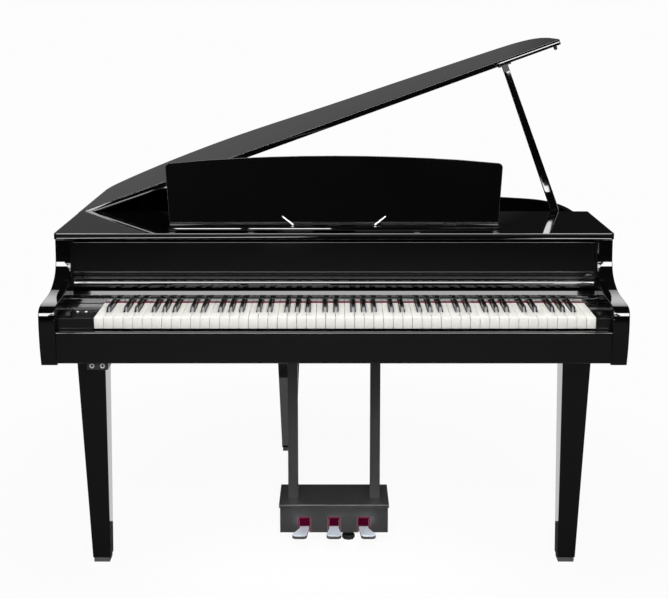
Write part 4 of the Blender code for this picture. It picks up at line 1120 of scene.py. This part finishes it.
def studio_sky():
    """White where the camera looks, and a dim graded studio for everything else."""
    world = bpy.data.worlds.new("studio_sky")
    bpy.context.scene.world = world
    world.use_nodes = True
    tree = world.node_tree
    look = tree.nodes.new("ShaderNodeTexCoord")
    parts = tree.nodes.new("ShaderNodeSeparateXYZ")
    tree.links.new(look.outputs["Generated"], parts.inputs["Vector"])
    sideways = reckon(tree, "MULTIPLY", parts.outputs["X"], BAND_LEAN)
    height = reckon(tree, "ADD", sideways, parts.outputs["Z"])
    band = spread(tree, height, 1.0, ABOVE_BAND, BAND_FOOT, BAND_TOP)
    behind = spread(tree, parts.outputs["Y"], IN_FRONT, 1.0, -SIDE_ZONE, SIDE_ZONE)
    grey = reckon(tree, "MULTIPLY", band, behind)
    soft = tree.nodes["Background"]
    soft.inputs["Color"].default_value = (1.0, 1.0, 1.0, 1.0)
    tree.links.new(reckon(tree, "MULTIPLY", grey, STUDIO_GREY), soft.inputs["Strength"])
    seen = tree.nodes.new("ShaderNodeBackground")
    seen.inputs["Color"].default_value = (PAPER, PAPER, PAPER, 1.0)
    show_camera(tree, soft.outputs["Background"], seen.outputs["Background"], "OUTPUT_WORLD")


studio_sky()
print("sky behind the piano:", STUDIO_GREY)


# %% [markdown]
# Two kinds of lamp: soft lamps that light the keys and everything matt, and reflection
# cards that only gloss can see. The cards draw the white lines on the rounded edges
# and ridges, the streak on the music ledge, the white bands on the arms, the bright
# edge of the lid, the patches on the lid's stay and the light inner sides of the legs.
# A small shaded lamp picks out the pedals.

# %% Lamps and cards
CARD_PLANE = -4.3
LID_ANGLE = 19.9
PEDAL_SHADE = math.radians(44)


def softbox(name, place, target, width, height, radiance, gloss, roll=0.0):
    """A large rectangular lamp facing a point, seen by gloss alone or by all the rest."""
    lamp = bpy.data.lights.new(name, "AREA")
    lamp.shape = "RECTANGLE"
    lamp.size = width
    lamp.size_y = height
    lamp.energy = radiance * math.pi * width * height
    made = bpy.data.objects.new(name, lamp)
    made.location = place
    facing = (Vector(target) - Vector(place)).to_track_quat("-Z", "Y")
    made.rotation_euler = (facing @ Quaternion((0.0, 0.0, 1.0), math.radians(roll))).to_euler()
    bpy.context.scene.collection.objects.link(made)
    made.visible_camera = False
    made.visible_glossy = gloss
    made.visible_diffuse = not gloss
    return made


def front_card(name, x, z, width, height, radiance, roll=0.0):
    """An upright reflection card that faces the piano squarely from the front."""
    return softbox(name, (x, CARD_PLANE, z), (x, 0.0, z), width, height, radiance, True, roll)


softbox("overhead", (0.0, -1.6, 3.6), (0.0, -0.3, 0.7), 4.0, 1.6, 6.4, False)
softbox("front_fill", (0.0, -4.5, 2.4), (0.0, 0.0, 0.7), 3.0, 1.0, 12.0, False)
softbox("card_above", (0.0, -3.2, 3.6), (0.0, -0.43, 0.8), 2.8, 1.2, 9.5, True)
softbox("card_barrel", (0.0, -3.96, 2.68), (0.0, -0.43, 0.8), 2.9, 1.15, 17.0, True)
softbox("card_floor", (0.0, 1.7, 0.02), (0.0, 1.7, 2.0), 3.0, 3.6, 1.3, True)
front_card("card_board", -1.28, 1.80, 0.44, 0.15, 24.0)
front_card("card_prop", 1.29, 0.34, 0.20, 0.08, 24.0)
front_card("card_prop_image", 1.34, 1.80, 0.13, 0.15, 44.0)
front_card("card_lid_edge", 1.24, 1.215, 0.46, 0.15, 24.0, LID_ANGLE)
front_card("card_ledge_left", -0.73, 0.236, 0.38, 0.085, 32.0)
front_card("card_ledge", -0.255, 0.236, 0.47, 0.080, 32.0, -0.8)
for side in (-1.0, 1.0):
    front_card("card_arm", side * 1.70, 2.05, 0.36, 1.9, 24.0)
    softbox("card_slope", (side * 1.95, 4.0, 3.7), (side * 1.2, 0.0, 1.5), 1.1, 2.9, 2.2, True)
pedal_lamp = softbox("pedal_lamp", (0.0, -0.95, 0.80), (0.0, -0.29, 0.06), 0.9, 0.12, 5.0, False)
pedal_lamp.data.spread = PEDAL_SHADE
pedal_lamp.visible_glossy = True
print("lamps and cards:", len(bpy.data.lights))

# %% [markdown]
# ## View
#
# With the Standard view transform a colour renders about as it is written.

bpy.context.scene.view_settings.view_transform = "Standard"
